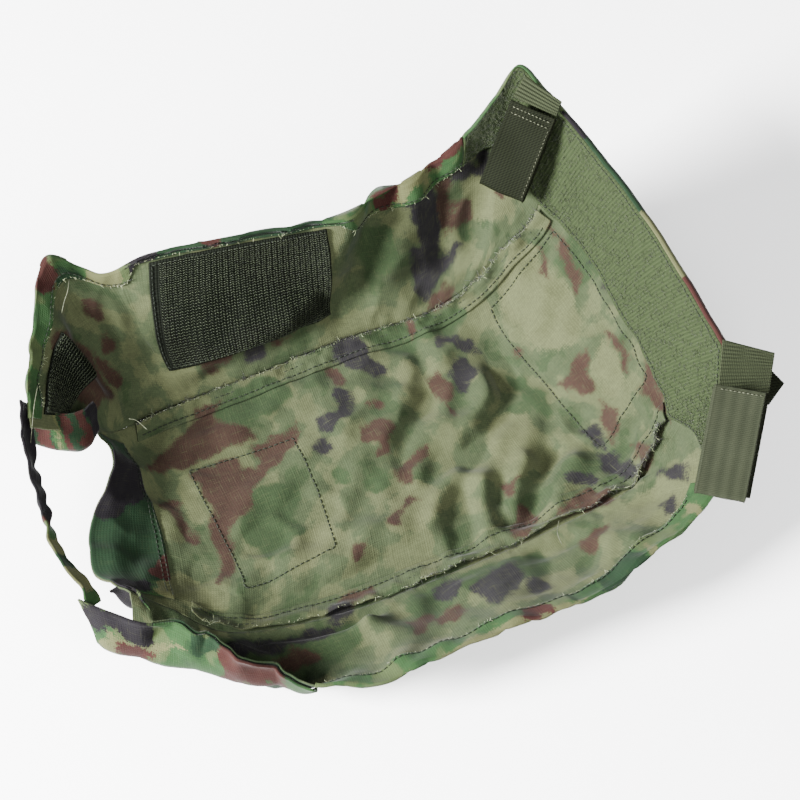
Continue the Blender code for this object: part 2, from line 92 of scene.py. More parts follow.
STRIP = [
    ((-129.6, 66, 53.0), (-125.0, 65.5, 44.2)),
    ((-134.6, 52, 52.0), (-130.4, 51, 43.0)),
    ((-136.5, 37, 51.0), (-134.0, 36.5, 42.5)),
    ((-139.0, 20, 49.5), (-136.8, 20, 41.0)),
    ((-141.0, 3, 48.0), (-138.3, 4, 39.8)),
    ((-140.5, -12, 46.5), (-136.5, -10, 39.2)),
    ((-138.0, -21, 45.5), (-133.6, -18.5, 38.8)),
]
UPPER_TAB = (((127.8, 100.2, 85.6), (141.0, 83.0, 85.0)), (-15.5, -20.5, -25.5), 42.0)
LOWER_TAB = (((145.6, -63.6, 74.0), (163.0, -75.2, 72.2)), (-16.4, -35.5, -25.4), 48.0)
LOWER_ROOT = ((156.6, -47.9, 79.8), (175.8, -61.0, 74.6), (170.6, -68.6, 67.8), (148.6, -61.4, 69.2))
STRAP_WIDTH = 22.0
STRAP_PLY = 1.1
TAB_GAP = 2.2
HOOK_CORNERS = [(4.98, 0.17), (6.97, 0.17), (6.8, 2.36), (4.88, 2.30)]
CORNER_TAPE = [(0.3, 0.62), (2.05, 0.85), (2.25, 1.95), (0.42, 1.62)]
BASE_PATCH = [(2.06, 1.05), (3.1, 1.15), (3.12, 3.05), (2.1, 3.25)]
END_PATCH = [(6.06, 0.42), (8.08, 0.30), (8.1, 3.3), (6.04, 3.3)]
END_STITCH = [(6.14, 0.53), (7.86, 0.43), (7.86, 3.14), (6.12, 3.2)]
FAR_BAND = [(9.95, 0.62), (11.0, 0.78), (12.0, 0.92), (13.0, 0.985)]
NEAR_BAND = [(12.25, 0.05), (13.0, 0.55), (13.5, 0.8), (14.0, 0.985)]

# ---- the print, as outlines in plan, with painted shade in the brown on the left of the floor, and the folds: (height, half width, path in plan) ----
# brown print; on the left of the floor the large brown areas also stand in for the shade in the hollow there
# (painted shade)
BROWN = [
    [(-69, 28), (-49, 27), (-46, 27), (-46, 20), (-38, 19), (-37, 29), (-21, 27), (-16, 31), (-14, 26),
     (-20, 20), (-35, 13), (-46, 8), (-52, -4), (-63, -6), (-65, -15), (-74, -29), (-79, -31), (-73, -15),
     (-72, -2), (-68, 2), (-67, 15)],
    [(-53, 56), (-42, 55), (-46, 46), (-34, 36), (-35, 32), (-46, 32), (-71, 31), (-86, 35), (-78, 41),
     (-58, 50)],
    [(-88, 19), (-79, 18), (-80, 9), (-77, -5), (-82, -7), (-84, 9)],
    [(20, 26), (24, 27), (27, 23), (24, 20), (20, 21)],
    [(23, 15), (25, 9), (20, 2), (14, -4), (12, -2), (15, 2.5), (9, 8), (14, 15)],
    [(35, -5), (35, -9), (27, -12), (19, -20), (15, -16), (20, -9)],
    [(20, -27), (21, -30), (12, -31), (6, -39), (3, -37), (4, -32), (14, -26)],
    [(-11, -38), (-11, -42), (-20, -48), (-18, -40)],
    [(55, 28), (59, 20), (57, 12), (53, 9), (54, 2), (52, 2), (51, 13), (49, 25)],
    [(57, -39), (65, -40), (63, -43), (59, -47), (57, -45)],
    [(61, -52), (64, -62), (55, -68), (49, -63)],
    [(89, -58), (98, -70), (80, -68), (71, -65), (76, -62)],
    [(117, -1), (115, -13), (115, -20), (107, -17), (101, -5), (107, -6), (110, -2)],
    [(92, 21), (96, 22), (97, 19), (94, 18)],
    [(128, 1), (131, -5), (133, -14), (127, -24), (128, -14), (127, -6)],
    [(138, -21), (137, -31), (135, -39), (134, -51), (131, -58), (131, -49), (128, -35), (132, -30)],
    [(113, -25), (116, -31), (117, -38), (112, -45), (110, -35)],
    [(117, -49), (118, -54), (120, -64), (114, -67), (115, -56)],
    [(11, 51), (15, 48), (15, 40), (11, 38), (8, 45)],
    [(51, 56), (55, 56), (56, 50), (52, 49)],
    [(66, 60), (72, 63), (79, 61), (76, 55), (68, 55)],
    [(127, 56), (130, 38), (130, 28), (126, 23), (125, 28), (125, 38)],
    [(120, 49), (121, 43), (119, 38), (117, 38), (116, 44)],
    [(87, 97), (95, 95), (90, 86), (100, 84), (97, 78), (83, 80)],
    [(111, 84), (115, 84), (115, 79), (112, 78)],
    [(36, 95), (44, 95), (45, 90), (38, 89)],
    [(-42, 73), (-28, 75), (-30, 69), (-42, 68)],
    [(-12, 75), (0, 77), (4, 72), (-8, 69)],
    [(-84, 107), (-78, 106), (-78, 100), (-83, 100)],
    [(-82, 95), (-77, 95), (-77, 90), (-82, 91)],
    [(-90, 89), (-84, 88), (-80, 78), (-84, 74)],
    [(-106, 92), (-92, 96), (-88, 84), (-86, 72), (-96, 66), (-104, 72)],
    [(0, -88), (12, -86), (14, -92), (4, -95)],
    [(74, -82), (86, -80), (88, -84), (76, -90)],
    [(-12, -86), (-2, -82), (0, -88), (-10, -94)],
    [(-34, -58), (-20, -58), (-18, -62), (-30, -64)],
    [(-74, -78), (-60, -85), (-52, -81), (-62, -74)],
]
GREY = [
    [(-5, 28), (5, 28), (8, 37), (15, 36), (13, 29), (6, 21), (-6, 20)],
    [(-12, 17), (-5, 18), (-4, 12), (-8, 9.5), (-12, 12)],
    [(62, 41), (66, 43), (78, 36), (79, 30), (74, 30), (68, 36), (62, 38)],
    [(69, 30), (72, 26), (72, 18), (69, 15), (61, 11), (60, 21), (64, 27)],
    [(103, -29), (109, -34), (108, -41), (105, -42), (100, -31)],
    [(103, -44), (109, -47), (113, -62), (110, -66), (103, -61), (101, -50)],
    [(86, -47), (97, -55), (95, -59), (85, -51)],
    [(17, 61), (25, 62), (30, 57), (33, 45), (35, 40), (30, 37), (22, 45), (15, 53)],
    [(136, 19), (138, 8), (135, 8), (134, 18)],
    [(134, 31), (138, 31), (138, 28), (135, 28)],
    [(68, 96), (86, 91), (80, 75), (90, 73), (79, 66), (67, 62), (61, 65), (66, 76), (72, 77), (68, 86)],
    [(110, 98), (114, 95), (109, 89), (95, 91), (94, 95), (106, 95)],
    [(-22, 71), (-12, 72), (-14, 66), (-22, 66)],
    [(43, -91), (50, -90), (53, -97), (45, -101), (41, -98)],
    [(22, -80), (38, -76), (46, -80), (44, -88), (34, -96), (26, -98), (22, -90)],
    [(8, -72), (16, -70), (20, -76), (12, -82), (6, -78)],
    [(118, -73), (124, -72), (128, -80), (126, -84), (120, -78)],
    [(112, -86), (118, -86), (116, -93), (110, -93)],
    [(-42, -62), (-32, -60), (-28, -66), (-38, -70)],
    [(-86, -58), (-60, -66), (-40, -70), (-44, -75), (-66, -73), (-88, -66)],
]
TAN = [
    [(-78, 20), (-71, 18), (-70, 4), (-77, 3)],
    [(-106, -18), (-93, -17), (-85, -26), (-80, -40), (-94, -38)],
    [(-40, -22), (-21, -22), (-20, -32), (-42, -41)],
    [(-68, 76), (-50, 74), (-46, 64), (-60, 62)],
    [(38, 34), (48, 40), (50, 20), (40, 14)],
    [(0, -42), (22, -42), (30, -30), (26, -20), (10, -22)],
    [(60, -28), (80, -30), (84, -10), (66, -6)],
    [(95, 45), (112, 58), (124, 30), (118, 6), (104, 10), (98, 28)],
    [(118, -8), (128, -4), (124, -26), (117, -26)],
    [(30, -100), (60, -104), (64, -92), (40, -88)],
    [(96, -78), (118, -74), (132, -78), (128, -92), (104, -96)],
    [(96, 88), (112, 90), (118, 70), (104, 72)],
]
GREEN = [
    [(-46, 8), (-28, 1), (-30, -9), (-44, -13), (-52, -5)],
    [(-9, 1), (-2, 0), (-3, -8), (-9, -6)],
    [(0, -9), (12, -8), (14, -16), (4, -18)],
    [(90, 80), (97, 79), (95, 73), (90, 74)],
    [(-46, 52), (-20, 58), (-8, 48), (-24, 38), (-40, 42)],
    [(36, 58), (56, 56), (52, 44), (40, 46)],
    [(84, 12), (92, 8), (96, -12), (88, -14)],
    [(122, 40), (136, 48), (140, 30), (130, 24)],
    [(-8, -74), (8, -72), (10, -84), (-6, -88)],
    [(44, 90), (60, 88), (58, 74), (44, 74)],
    [(-110, -46), (-84, -57), (-50, -69), (-30, -72), (-40, -88), (-66, -93), (-98, -74)],
    [(-60, -8), (-40, -4), (-34, -20), (-52, -28)],
    [(30, 58), (60, 56), (80, 50), (70, 42), (44, 50)],
    [(14, -72), (44, -74), (60, -78), (52, -90), (24, -86)],
]
PRINT_AND_SHADE = {"brown": BROWN, "grey": GREY, "tan": TAN, "green": GREEN}
FLOOR_FOLDS = [
    (2.6, 24, [(20, 10), (50, 5), (76, -22)]),
    (-2.8, 4.2, [(84, 16), (81, 4), (74, -4), (58, -15), (49, -23)]),
    (2.4, 5.0, [(74, 14), (70, 4), (60, -5)]),
    (-2.6, 4.0, [(86, -34), (76, -42), (68, -51), (60, -60)]),
    (3.0, 5.0, [(92, -44), (84, -50), (76, -58)]),
    (2.8, 4.5, [(72, -34), (64, -42), (58, -50)]),
    (-2.0, 3.4, [(56, -38), (54, -46), (52, -55)]),
    (3.2, 4.5, [(48, -36), (44, -46), (42, -56)]),
    (-2.8, 4.4, [(41, -33), (36, -45), (30, -57)]),
    (2.2, 4.0, [(24, -38), (33, -28), (45, -27), (52, -33)]),
    (-1.8, 3.6, [(31, -21), (42, -17), (55, -13)]),
    (-2.2, 3.8, [(46, 17), (36, 10), (28, 4), (22, -7)]),
    (1.6, 4.5, [(38, 20), (28, 13), (20, 6)]),
    (-1.8, 3.5, [(44, 50), (51, 43), (51, 30)]),
    (1.8, 4.0, [(58, 52), (62, 44), (62, 36)]),
    (3.0, 8.0, [(-76, -36), (-40, -38), (-6, -38), (16, -44)]),
    (-2.2, 4.0, [(-68, -50), (-37, -53), (-12, -53), (14, -57)]),
    (1.2, 6.0, [(-70, 36), (-40, 42), (0, 48)]),
    (1.0, 9.0, [(-60, 0), (-20, 10), (10, 24)]),
    (-1.5, 3.0, [(120, -44), (112, -50), (106, -54)]),
    (1.2, 8.0, [(104, 30), (112, 4), (112, -24)]),
    (-1.0, 4.0, [(96, 50), (106, 40), (118, 44)]),
]
FAR_FOLDS = [
    (-4.2, 4.6, [(60, 94), (50, 86), (38, 77), (24, 71)]),
    (3.0, 6.0, [(48, 95), (38, 88), (28, 80)]),
    (2.0, 6.0, [(72, 92), (64, 82), (54, 74)]),
    (-1.6, 2.2, [(-60, 63), (-34, 67), (-14, 67), (4, 69), (18, 74)]),
    (1.2, 3.5, [(-56, 70), (-30, 72), (0, 73)]),
    (-1.2, 3.0, [(86, 96), (84, 84), (80, 72)]),
    (1.4, 4.0, [(98, 98), (94, 86), (90, 76)]),
    (1.6, 3.0, [(-72, 98), (-76, 88), (-80, 76)]),
    (-2.2, 3.5, [(-90, 108), (-90, 92), (-88, 76)]),
    (1.8, 4.0, [(-100, 100), (-98, 86), (-94, 74)]),
]
NEAR_FOLDS = [
    (-1.4, 7.0, [(60, -104), (58, -92), (56, -80)]),
    (1.6, 8.0, [(30, -104), (30, -92), (32, -80)]),
    (-1.4, 6.0, [(0, -104), (2, -92), (4, -80)]),
    (1.4, 7.0, [(-24, -104), (-24, -92), (-22, -80)]),
    (1.4, 7.0, [(92, -100), (88, -90), (84, -80)]),
    (-1.6, 4.0, [(60, -78), (72, -80), (84, -82)]),
    (-3.0, 3.0, [(-96, -60), (-84, -72), (-72, -80)]),
    (2.5, 3.0, [(-104, -52), (-90, -62), (-74, -74)]),
    (2.6, 2.2, [(-98, -66), (-86, -77), (-74, -85)]),
    (-2.6, 2.2, [(-92, -57), (-80, -65), (-70, -73)]),
    (-2.8, 2.8, [(-74, -62), (-56, -68), (-38, -72), (-22, -73)]),
    (3.2, 4.0, [(-86, -64), (-66, -72), (-46, -77), (-28, -79)]),
    (3.4, 2.4, [(-116, -52), (-104, -58), (-94, -66)]),
    (-3.2, 2.2, [(-112, -47), (-100, -53), (-90, -60)]),
    (-3.0, 2.4, [(-86, -76), (-74, -82), (-64, -88)]),
]


def srgb(r, g, b):
    """Linear colour from display values."""
    return tuple(c / 12.92 if c <= 0.04045 else ((c + 0.055) / 1.055) ** 2.4 for c in (r, g, b)) + (1.0,)


# =============================== surfaces ===============================
def weights(count, samples):
    """Catmull-Rom weights of `count` controls at each sample, straight ends."""
    samples = np.asarray(samples, float).ravel()
    i = np.clip(np.floor(samples).astype(int), 0, count - 2)
    f = samples - i
    terms = [-0.5 * f + f ** 2 - 0.5 * f ** 3,
             1 - 2.5 * f ** 2 + 1.5 * f ** 3,
             0.5 * f + 2 * f ** 2 - 1.5 * f ** 3,
             -0.5 * f ** 2 + 0.5 * f ** 3]
    out = np.zeros((len(samples), count))
    rows = np.arange(len(samples))
    for shift, term in zip((-1, 0, 1, 2), terms):
        j = i + shift
        low = j < 0
        high = j > count - 1
        mid = ~(low | high)
        out[rows[mid], j[mid]] += term[mid]
        out[rows[low], 0] += 2 * term[low]
        out[rows[low], 1] -= term[low]
        out[rows[high], count - 1] += 2 * term[high]
        out[rows[high], count - 2] -= term[high]
    return out


def on_curve(points, samples):
    return weights(len(points), samples) @ np.array(points, float)


def unit(vectors):
    return vectors / np.maximum(np.linalg.norm(vectors, axis=-1, keepdims=True), 1e-9)


def between(edges, s, t):
    """Points across the strip between two curves; s runs along them, t across."""
    top, low = (on_curve(edge, s)[:, None] for edge in edges)
    t = t[None, :, None]
    return (1 - t) * top + t * low


def bilinear(corners, nu, nv):
    """Grid of points inside four corners, in order."""
    a, b, c, d = (np.array(p, float) for p in corners)
    s = np.linspace(0, 1, nu)[:, None, None]
    t = np.linspace(0, 1, nv)[None, :, None]
    return (1 - s) * ((1 - t) * a + t * d) + s * ((1 - t) * b + t * c)


def smooth(x):
    x = np.clip(x, 0, 1)
    return x * x * (3 - 2 * x)


# relief of the cloth: heights in mm, then wavelengths in mm
CRUMPLE, CREASE, PUCKER = 0.6, 0.9, 0.24
CRUMPLE_WAVE, CREASE_WAVE, PUCKER_WAVE = 19, 34, 7
FOLD_STRENGTH = 1.6
TAPE_HOLD = 0.8
TAPE_MARGIN = 0.3


class Patch:
    """A smooth surface over a grid of control points, and the relief of its folds."""
    stiff = ()

    def __init__(self, controls, side, folds, seed):
        self.controls = np.array(controls, float)
        self.side = side
        self.folds = folds
        self.seed = seed

    def raw(self, u, v):
        wu = weights(self.controls.shape[0], u)
        wv = weights(self.controls.shape[1], v)
        return np.einsum("ki,kj,ijc->kc", wu, wv, self.controls)

    def points(self, u, v):
        u, v = np.broadcast_arrays(np.asarray(u, float), np.asarray(v, float))
        return self.raw(u.ravel(), v.ravel()).reshape(u.shape + (3,))

    def normals(self, u, v):
        u, v = np.broadcast_arrays(np.asarray(u, float), np.asarray(v, float))
        step = 0.02
        top_u = self.controls.shape[0] - 1
        top_v = self.controls.shape[1] - 1
        u0, u1 = np.clip(u - step, 0, top_u), np.clip(u + step, 0, top_u)
        v0, v1 = np.clip(v - step, 0, top_v), np.clip(v + step, 0, top_v)
        across = np.cross(self.points(u1, v) - self.points(u0, v),
                          self.points(u, v1) - self.points(u, v0))
        return self.side * unit(across)

    def seam_share(self, u, v):
        """1 on the sewn edges, 0 away from them."""
        raise NotImplementedError

    def place(self, u, v, offset=0.0):
        """Points on the folded cloth, `offset` mm to the inside of it."""
        base = self.points(u, v)
        normal = self.normals(u, v)
        sewn = self.seam_share(u, v)
        lift = FOLD_STRENGTH * fold_field(base[..., :2], self.folds) * (1 - sewn)
        free = (1 - sewn) * (1 - TAPE_HOLD * self.taped(u, v))
        lift += CRUMPLE * ripple(base, CRUMPLE_WAVE, self.seed) * free
        lift += CREASE * (0.6 - np.abs(ripple(base, CREASE_WAVE, self.seed + 2))) * free
        lift += PUCKER * ripple(base, PUCKER_WAVE, self.seed + 1) * (0.25 + 2.4 * sewn * (1 - sewn))
        out = base + normal * (lift + offset)[..., None]
        return self.held_up(out, u, offset)

    def taped(self, u, v):
        """1 where stiff tape is sewn to the cloth, 0 away from it."""
        out = np.zeros(np.broadcast(u, v).shape)
        for u0, u1, v0, v1 in self.stiff:
            depths = (u - u0, u1 - u, v - v0, v1 - v)
            inside = math.prod(smooth(depth / TAPE_MARGIN + 0.5) for depth in depths)
            out = np.maximum(out, inside)
        return out

    def held_up(self, points, u, offset):
        return points


class SidePatch(Patch):
    """A side panel: its lower edge and its right edge lie on the seam curve."""

    def __init__(self, columns, seam, side, folds, seed):
        self.seam = seam
        self.places = [(c[3],) for c in columns]
        grid = [[c[0], c[1], c[2], tuple(on_curve(seam, [c[3]])[0])] for c in columns]
        super().__init__(grid, side, folds, seed)

    def raw(self, u, v):
        out = super().raw(u, v)
        last = self.controls.shape[0] - 1
        place = np.clip(on_curve(self.places, u)[:, 0], 0, 6)
        bottom = on_curve(self.seam, place) - super().raw(u, np.full(len(u), 3.0))
        right = on_curve(self.seam, 9 - np.maximum(v, 0)) - super().raw(np.full(len(u), float(last)), v)
        corner = on_curve(self.seam, [6.0]) - super().raw(np.array([float(last)]), np.array([3.0]))
        down = np.clip(v - 2, 0, 1)[:, None]
        along = np.clip(u - (last - 1), 0, 1)[:, None]
        return out + bottom * down + right * along - corner * down * along

    def seam_share(self, u, v):
        last = self.controls.shape[0] - 1
        u, v = np.broadcast_arrays(np.asarray(u, float), np.asarray(v, float))
        return np.maximum(1 - smooth((3 - v) / 0.5), 1 - smooth((last - u) / 0.6))


class CentrePatch(Patch):
    """The centre panel; its floor never sinks into the table."""

    def raw(self, u, v):
        out = super().raw(u, v)
        out[:, 2] = np.maximum(out[:, 2], self.floor(u))
        return out

    def floor(self, u):
        """Lowest the cloth may lie: higher over the patch under it."""
        return np.interp(u, [3.25, 4.2], [2.4, 1.0])

    def seam_share(self, u, v):
        u, v = np.broadcast_arrays(np.asarray(u, float), np.asarray(v, float))
        return np.maximum(1 - smooth(v / 0.42), 1 - smooth((4 - v) / 0.42))

    def held_up(self, points, u, offset):
        points[..., 2] = np.maximum(points[..., 2], self.floor(u) + offset)
        return points


def ripple(points, wavelength, seed, count=18):
    """Smooth random waves of about one wavelength, between about -2 and 2."""
    rng = np.random.default_rng(seed)
    total = np.zeros(points.shape[:-1])
    for _ in range(count):
        direction = rng.normal(size=3)
        direction *= rng.uniform(0.7, 1.5) / (wavelength * np.linalg.norm(direction))
        total += np.sin(2 * math.pi * (points @ direction) + rng.uniform(0, 2 * math.pi))
    return total / math.sqrt(count / 2)


def fold_field(xy, folds):
    out = np.zeros(xy.shape[:-1])
    for height, width, path in folds:
        line = on_curve(path, np.linspace(0, len(path) - 1, 28))
        near = np.full(xy.shape[:-1], np.inf)
        for spot in line:
            near = np.minimum(near, ((xy - spot) ** 2).sum(-1))
        out += height * np.exp(-near / (2 * width ** 2))
    return out


CENTRE = CentrePatch([[FAR[i], *MID[i], NEAR[i]] for i in range(10)], -1, FLOOR_FOLDS, 11)
FAR_SIDE = SidePatch(FAR_COLUMNS, FAR, -1, FAR_FOLDS, 21)
NEAR_SIDE = SidePatch(NEAR_COLUMNS, NEAR, 1, NEAR_FOLDS, 31)
CENTRE.stiff = ((8.1, 9.4, -0.5, 4.5),)
FAR_SIDE.stiff = ((4.9, 6.95, 0.1, 2.33), (0.35, 2.2, 0.7, 1.85), (10.2, 13.5, -0.5, 0.9))
NEAR_SIDE.stiff = ((12.5, 14.5, -0.5, 0.8),)
FAR_END = len(FAR_COLUMNS) - 1
NEAR_END = len(NEAR_COLUMNS) - 1


# =============================== materials ===============================
class Graph:
    """A material's node tree, built a call at a time."""

    def __init__(self, name):
        self.material = bpy.data.materials.new(name)
        self.material.use_nodes = True
        self.tree = self.material.node_tree
        self.shader = self.tree.nodes["Principled BSDF"]

    def feed(self, socket, value):
        if isinstance(value, bpy.types.NodeSocket):
            self.tree.links.new(value, socket)
        else:
            socket.default_value = value

    def node(self, kind, inputs, output=0, **settings):
        made = self.tree.nodes.new(kind)
        for key, value in settings.items():
            setattr(made, key, value)
        for key, value in inputs.items():
            self.feed(made.inputs[key], value)
        return made.outputs[output]

    def math(self, operation, a, b=0.0):
        return self.node("ShaderNodeMath", {0: a, 1: b}, operation=operation)

    def mix(self, share, a, b, blend="MIX"):
        return self.node("ShaderNodeMix", {0: share, 6: a, 7: b}, output=2, data_type="RGBA",
                         blend_type=blend)

    def attribute(self, name, output="Fac"):
        return self.node("ShaderNodeAttribute", {}, output=output, attribute_name=name)

    def noise(self, vector, scale, detail=2.0):
        return self.node("ShaderNodeTexNoise", {"Vector": vector, "Scale": scale, "Detail": detail},
                         output="Fac")

    def ramp(self, value, low, high):
        return self.node("ShaderNodeMapRange", {"Value": value, "From Min": low, "From Max": high},
                         interpolation_type="SMOOTHSTEP")

    def scale(self, value, low, high):
        """A value of 0 to 1 spread between low and high."""
        return self.node("ShaderNodeMapRange", {"Value": value, "To Min": low, "To Max": high})

    def wave(self, value, pitch):
        """0 to 1 and back once in each pitch of a length in mm."""
        turn = self.math("MULTIPLY", value, 2 * math.pi / pitch)
        return self.scale(self.math("MULTIPLY", self.math("ADD", self.math("SINE", turn), 1.0), 0.5), 0, 1)

    def axes(self, vector):
        made = self.tree.nodes.new("ShaderNodeSeparateXYZ")
        self.tree.links.new(vector, made.inputs[0])
        return made.outputs[0], made.outputs[1]

    def shade(self, colour, share):
        """A colour made darker or lighter by a grey value."""
        grey = self.node("ShaderNodeCombineColor", {0: share, 1: share, 2: share})
        return self.mix(1.0, colour, grey, blend="MULTIPLY")

    def bump(self, height, distance, strength=1.0):
        normal = self.node("ShaderNodeBump",
                           {"Height": height, "Distance": distance, "Strength": strength})
        self.feed(self.shader.inputs["Normal"], normal)

    def finish(self, colour, rough, sheen=0.0, specular=0.15):
        self.feed(self.shader.inputs["Base Color"], colour)
        self.feed(self.shader.inputs["Roughness"], rough)
        self.shader.inputs["Sheen Weight"].default_value = sheen
        self.shader.inputs["Sheen Roughness"].default_value = 0.5
        self.shader.inputs["Specular IOR Level"].default_value = specular
        return self.material


def camouflage(name, colours, softness, speck, worn, mottled):
    """Ripstop cotton: the print from the vertex fields, darkened in places as painted shade, the weave from
    cloth coordinates.
    """
    g = Graph(name)
    cloth = g.attribute("cloth", "Vector")
    x, y = g.axes(cloth)
    coarse = g.noise(cloth, 0.16, 3.0)
    fine = g.noise(cloth, 0.75, 3.0)
    warp = g.wave(x, 1.05)
    weft = g.wave(y, 1.05)
    weave = g.math("MULTIPLY", warp, weft)
    jitter = g.math("ADD", g.scale(coarse, -2.6, 2.6), g.scale(fine, -2.0, 2.0))
    jitter = g.math("ADD", jitter, g.scale(weave, -0.5, 0.5))
    mottle = g.math("ADD", g.noise(cloth, 0.05, 3.0), g.scale(fine, -0.03, 0.03))
    pale = g.math("MULTIPLY", g.ramp(mottle, 0.50, 0.57), mottled)
    colour = g.mix(pale, colours["base"], colours["tan"])
    colour = g.mix(g.math("MULTIPLY", g.ramp(mottle, 0.43, 0.37), mottled), colour, colours["green"])
    for key in ("tan", "green", "brown", "grey"):
        edge = g.math("ADD", g.attribute(key), jitter)
        colour = g.mix(g.ramp(edge, -softness, softness), colour, colours[key])
    lines = g.math("MAXIMUM", ripstop_line(g, x), ripstop_line(g, y))
    shade = g.scale(fine, 1.0 - speck, 1.0 + speck)
    shade = g.math("MULTIPLY", shade, g.scale(weave, 0.89, 1.11))
    shade = g.math("MULTIPLY", shade, g.scale(coarse, 0.86, 1.14))
    shade = g.math("MULTIPLY", shade, g.scale(lines, 1.0, 1.07))
    colour = g.shade(colour, shade)
    for slant in ((0.12, 2.2, 1.0), (2.2, 0.12, 1.0)):
        thread = g.noise(g.node("ShaderNodeMapping", {"Vector": cloth, "Scale": slant}), 1.0, 3.0)
        colour = g.mix(g.math("MULTIPLY", g.ramp(thread, 0.56, 0.76), worn), colour, colours["tan"])
    height = g.math("ADD", g.math("MULTIPLY", weave, 0.5), g.math("MULTIPLY", lines, 0.3))
    height = g.math("ADD", height, g.math("MULTIPLY", fine, 0.5))
    g.bump(height, 0.0002, 0.8)
    return g.finish(colour, g.scale(fine, 0.78, 0.95), sheen=0.03, specular=0.08)


def ripstop_line(g, value):
    """1 on a doubled thread every 8 mm, else 0."""
    fold = g.node("ShaderNodeMath", {0: value, 1: 4.0}, operation="PINGPONG")
    return g.node("ShaderNodeMapRange", {"Value": fold, "From Min": 0.0, "From Max": 0.55,
                                         "To Min": 1.0, "To Max": 0.0})


FADED = {
    "base": srgb(0.15, 0.178, 0.112), "tan": srgb(0.212, 0.225, 0.146),
    "green": srgb(0.106, 0.148, 0.08), "brown": srgb(0.13, 0.088, 0.066), "grey": srgb(0.07, 0.066, 0.072),
}
BRIGHT = {
    "base": srgb(0.10, 0.178, 0.085), "tan": srgb(0.225, 0.232, 0.145),
    "green": srgb(0.042, 0.105, 0.05), "brown": srgb(0.139, 0.062, 0.05), "grey": srgb(0.036, 0.028, 0.04),
}


def woven(name, dark, light, pitches, diagonal, depth, rough):
    """Narrow fabric: two thread waves, with a twill slant if asked for, and fine fibres."""
    pitch_x, pitch_y = pitches
    g = Graph(name)
    cloth = g.attribute("cloth", "Vector")
    x, y = g.axes(cloth)
    slanted = g.math("ADD", x, g.math("MULTIPLY", y, diagonal))
    ribs = g.math("MULTIPLY", g.wave(slanted, pitch_x), 0.6)
    ribs = g.math("ADD", ribs, g.math("MULTIPLY", g.wave(y, pitch_y), 0.4))
    fibre = g.noise(cloth, 2.2, 3.0)
    patchy = g.noise(cloth, 0.12, 3.0)
    share = g.math("ADD", g.math("MULTIPLY", ribs, 0.6), g.math("MULTIPLY", fibre, 0.5))
    colour = g.mix(g.ramp(share, 0.15, 0.95), srgb(*dark), srgb(*light))
    colour = g.shade(colour, g.scale(patchy, 0.84, 1.14))
    g.bump(g.math("ADD", ribs, g.math("MULTIPLY", fibre, 0.4)), depth, 0.9)
    return g.finish(colour, g.scale(fibre, rough - 0.08, rough + 0.08), sheen=0.0, specular=0.05)


def plain(name, dark, light, scale, rough, sheen=0.0):
    """A fibre or thread: one colour that drifts from strand to strand."""
    g = Graph(name)
    place = g.node("ShaderNodeNewGeometry", {}, output="Position")
    drift = g.noise(place, scale, 3.0)
    g.bump(g.noise(place, scale * 8, 2.0), 0.0001, 0.6)
    colour = g.mix(g.ramp(drift, 0.3, 0.7), srgb(*dark), srgb(*light))
    return g.finish(colour, g.scale(drift, rough - 0.1, rough + 0.1), sheen=sheen)


LOOKS = {
    "inside": camouflage("cloth_faded", FADED, 1.3, 0.34, 0.42, 0.75),
    "outside": camouflage("cloth_print", BRIGHT, 0.5, 0.18, 0.14, 0.45),
    "hook_base": woven("hook_backing", (0.018, 0.026, 0.015), (0.044, 0.056, 0.033),
                       (1.3, 1.3), 0, 0.0003, 0.8),
    "hook": plain("hook_nylon", (0.045, 0.058, 0.034), (0.165, 0.187, 0.13), 900, 0.5),
    "loop": woven("loop_knit", (0.094, 0.122, 0.067), (0.148, 0.176, 0.108), (1.7, 0.8), 0.5, 0.0002, 0.92),
    "fuzz": plain("loop_fuzz", (0.114, 0.138, 0.084), (0.18, 0.202, 0.134), 500, 0.9, 0.06),
    # dark webbing: the upper strap's own colour, and painted shade where the lower strap's tail and under ply
    # use it
    "dark_webbing_and_shade": woven("dark_webbing_and_shade", (0.009, 0.014, 0.003), (0.058, 0.07, 0.03),
                          (1.5, 1.5), 1, 0.0002, 0.8),
    "webbing": woven("webbing_grey", (0.094, 0.106, 0.072), (0.144, 0.156, 0.114),
                     (0.8, 5.4), 0, 0.0002, 0.85),
    "elastic": woven("elastic", (0.07, 0.084, 0.053), (0.158, 0.176, 0.119), (0.8, 1.8), 0, 0.0002, 0.85),
    "thread": plain("thread_dark", (0.045, 0.06, 0.04), (0.1, 0.12, 0.085), 700, 0.6),
    "thread_light": plain("thread_light", (0.18, 0.19, 0.145), (0.32, 0.33, 0.265), 700, 0.7),
    "fray_light": plain("fray_light", (0.25, 0.285, 0.185), (0.45, 0.47, 0.36), 600, 0.9, 0.15),
    "fray_dark": plain("fray_dark", (0.03, 0.03, 0.03), (0.1, 0.1, 0.075), 600, 0.9, 0.1),
}


# =============================== mesh helpers ===============================
def closed_outline(outline):
    ring = [outline[-1], *outline, outline[0], outline[1]]
    samples = np.linspace(1, len(outline) + 1, 3 * len(outline), endpoint=False)
    return on_curve(ring, samples)


def depth_in(xy, outline):
    """How far inside an outline each point is, negative outside, in mm."""
    ring = closed_outline(outline)
    after = np.roll(ring, -1, axis=0)
    near = np.full(len(xy), np.inf)
    inside = np.zeros(len(xy), bool)
    for a, b in zip(ring, after):
        run = b - a
        share = np.clip(((xy - a) @ run) / max(run @ run, 1e-9), 0, 1)
        near = np.minimum(near, ((xy - a - share[:, None] * run) ** 2).sum(1))
        crosses = (a[1] > xy[:, 1]) != (b[1] > xy[:, 1])
        cut = a[0] + (xy[:, 1] - a[1]) * run[0] / (run[1] if abs(run[1]) > 1e-9 else 1e-9)
        inside ^= crosses & (xy[:, 0] < cut)
    return np.where(inside, 1, -1) * np.sqrt(near)


REACH = 9.0


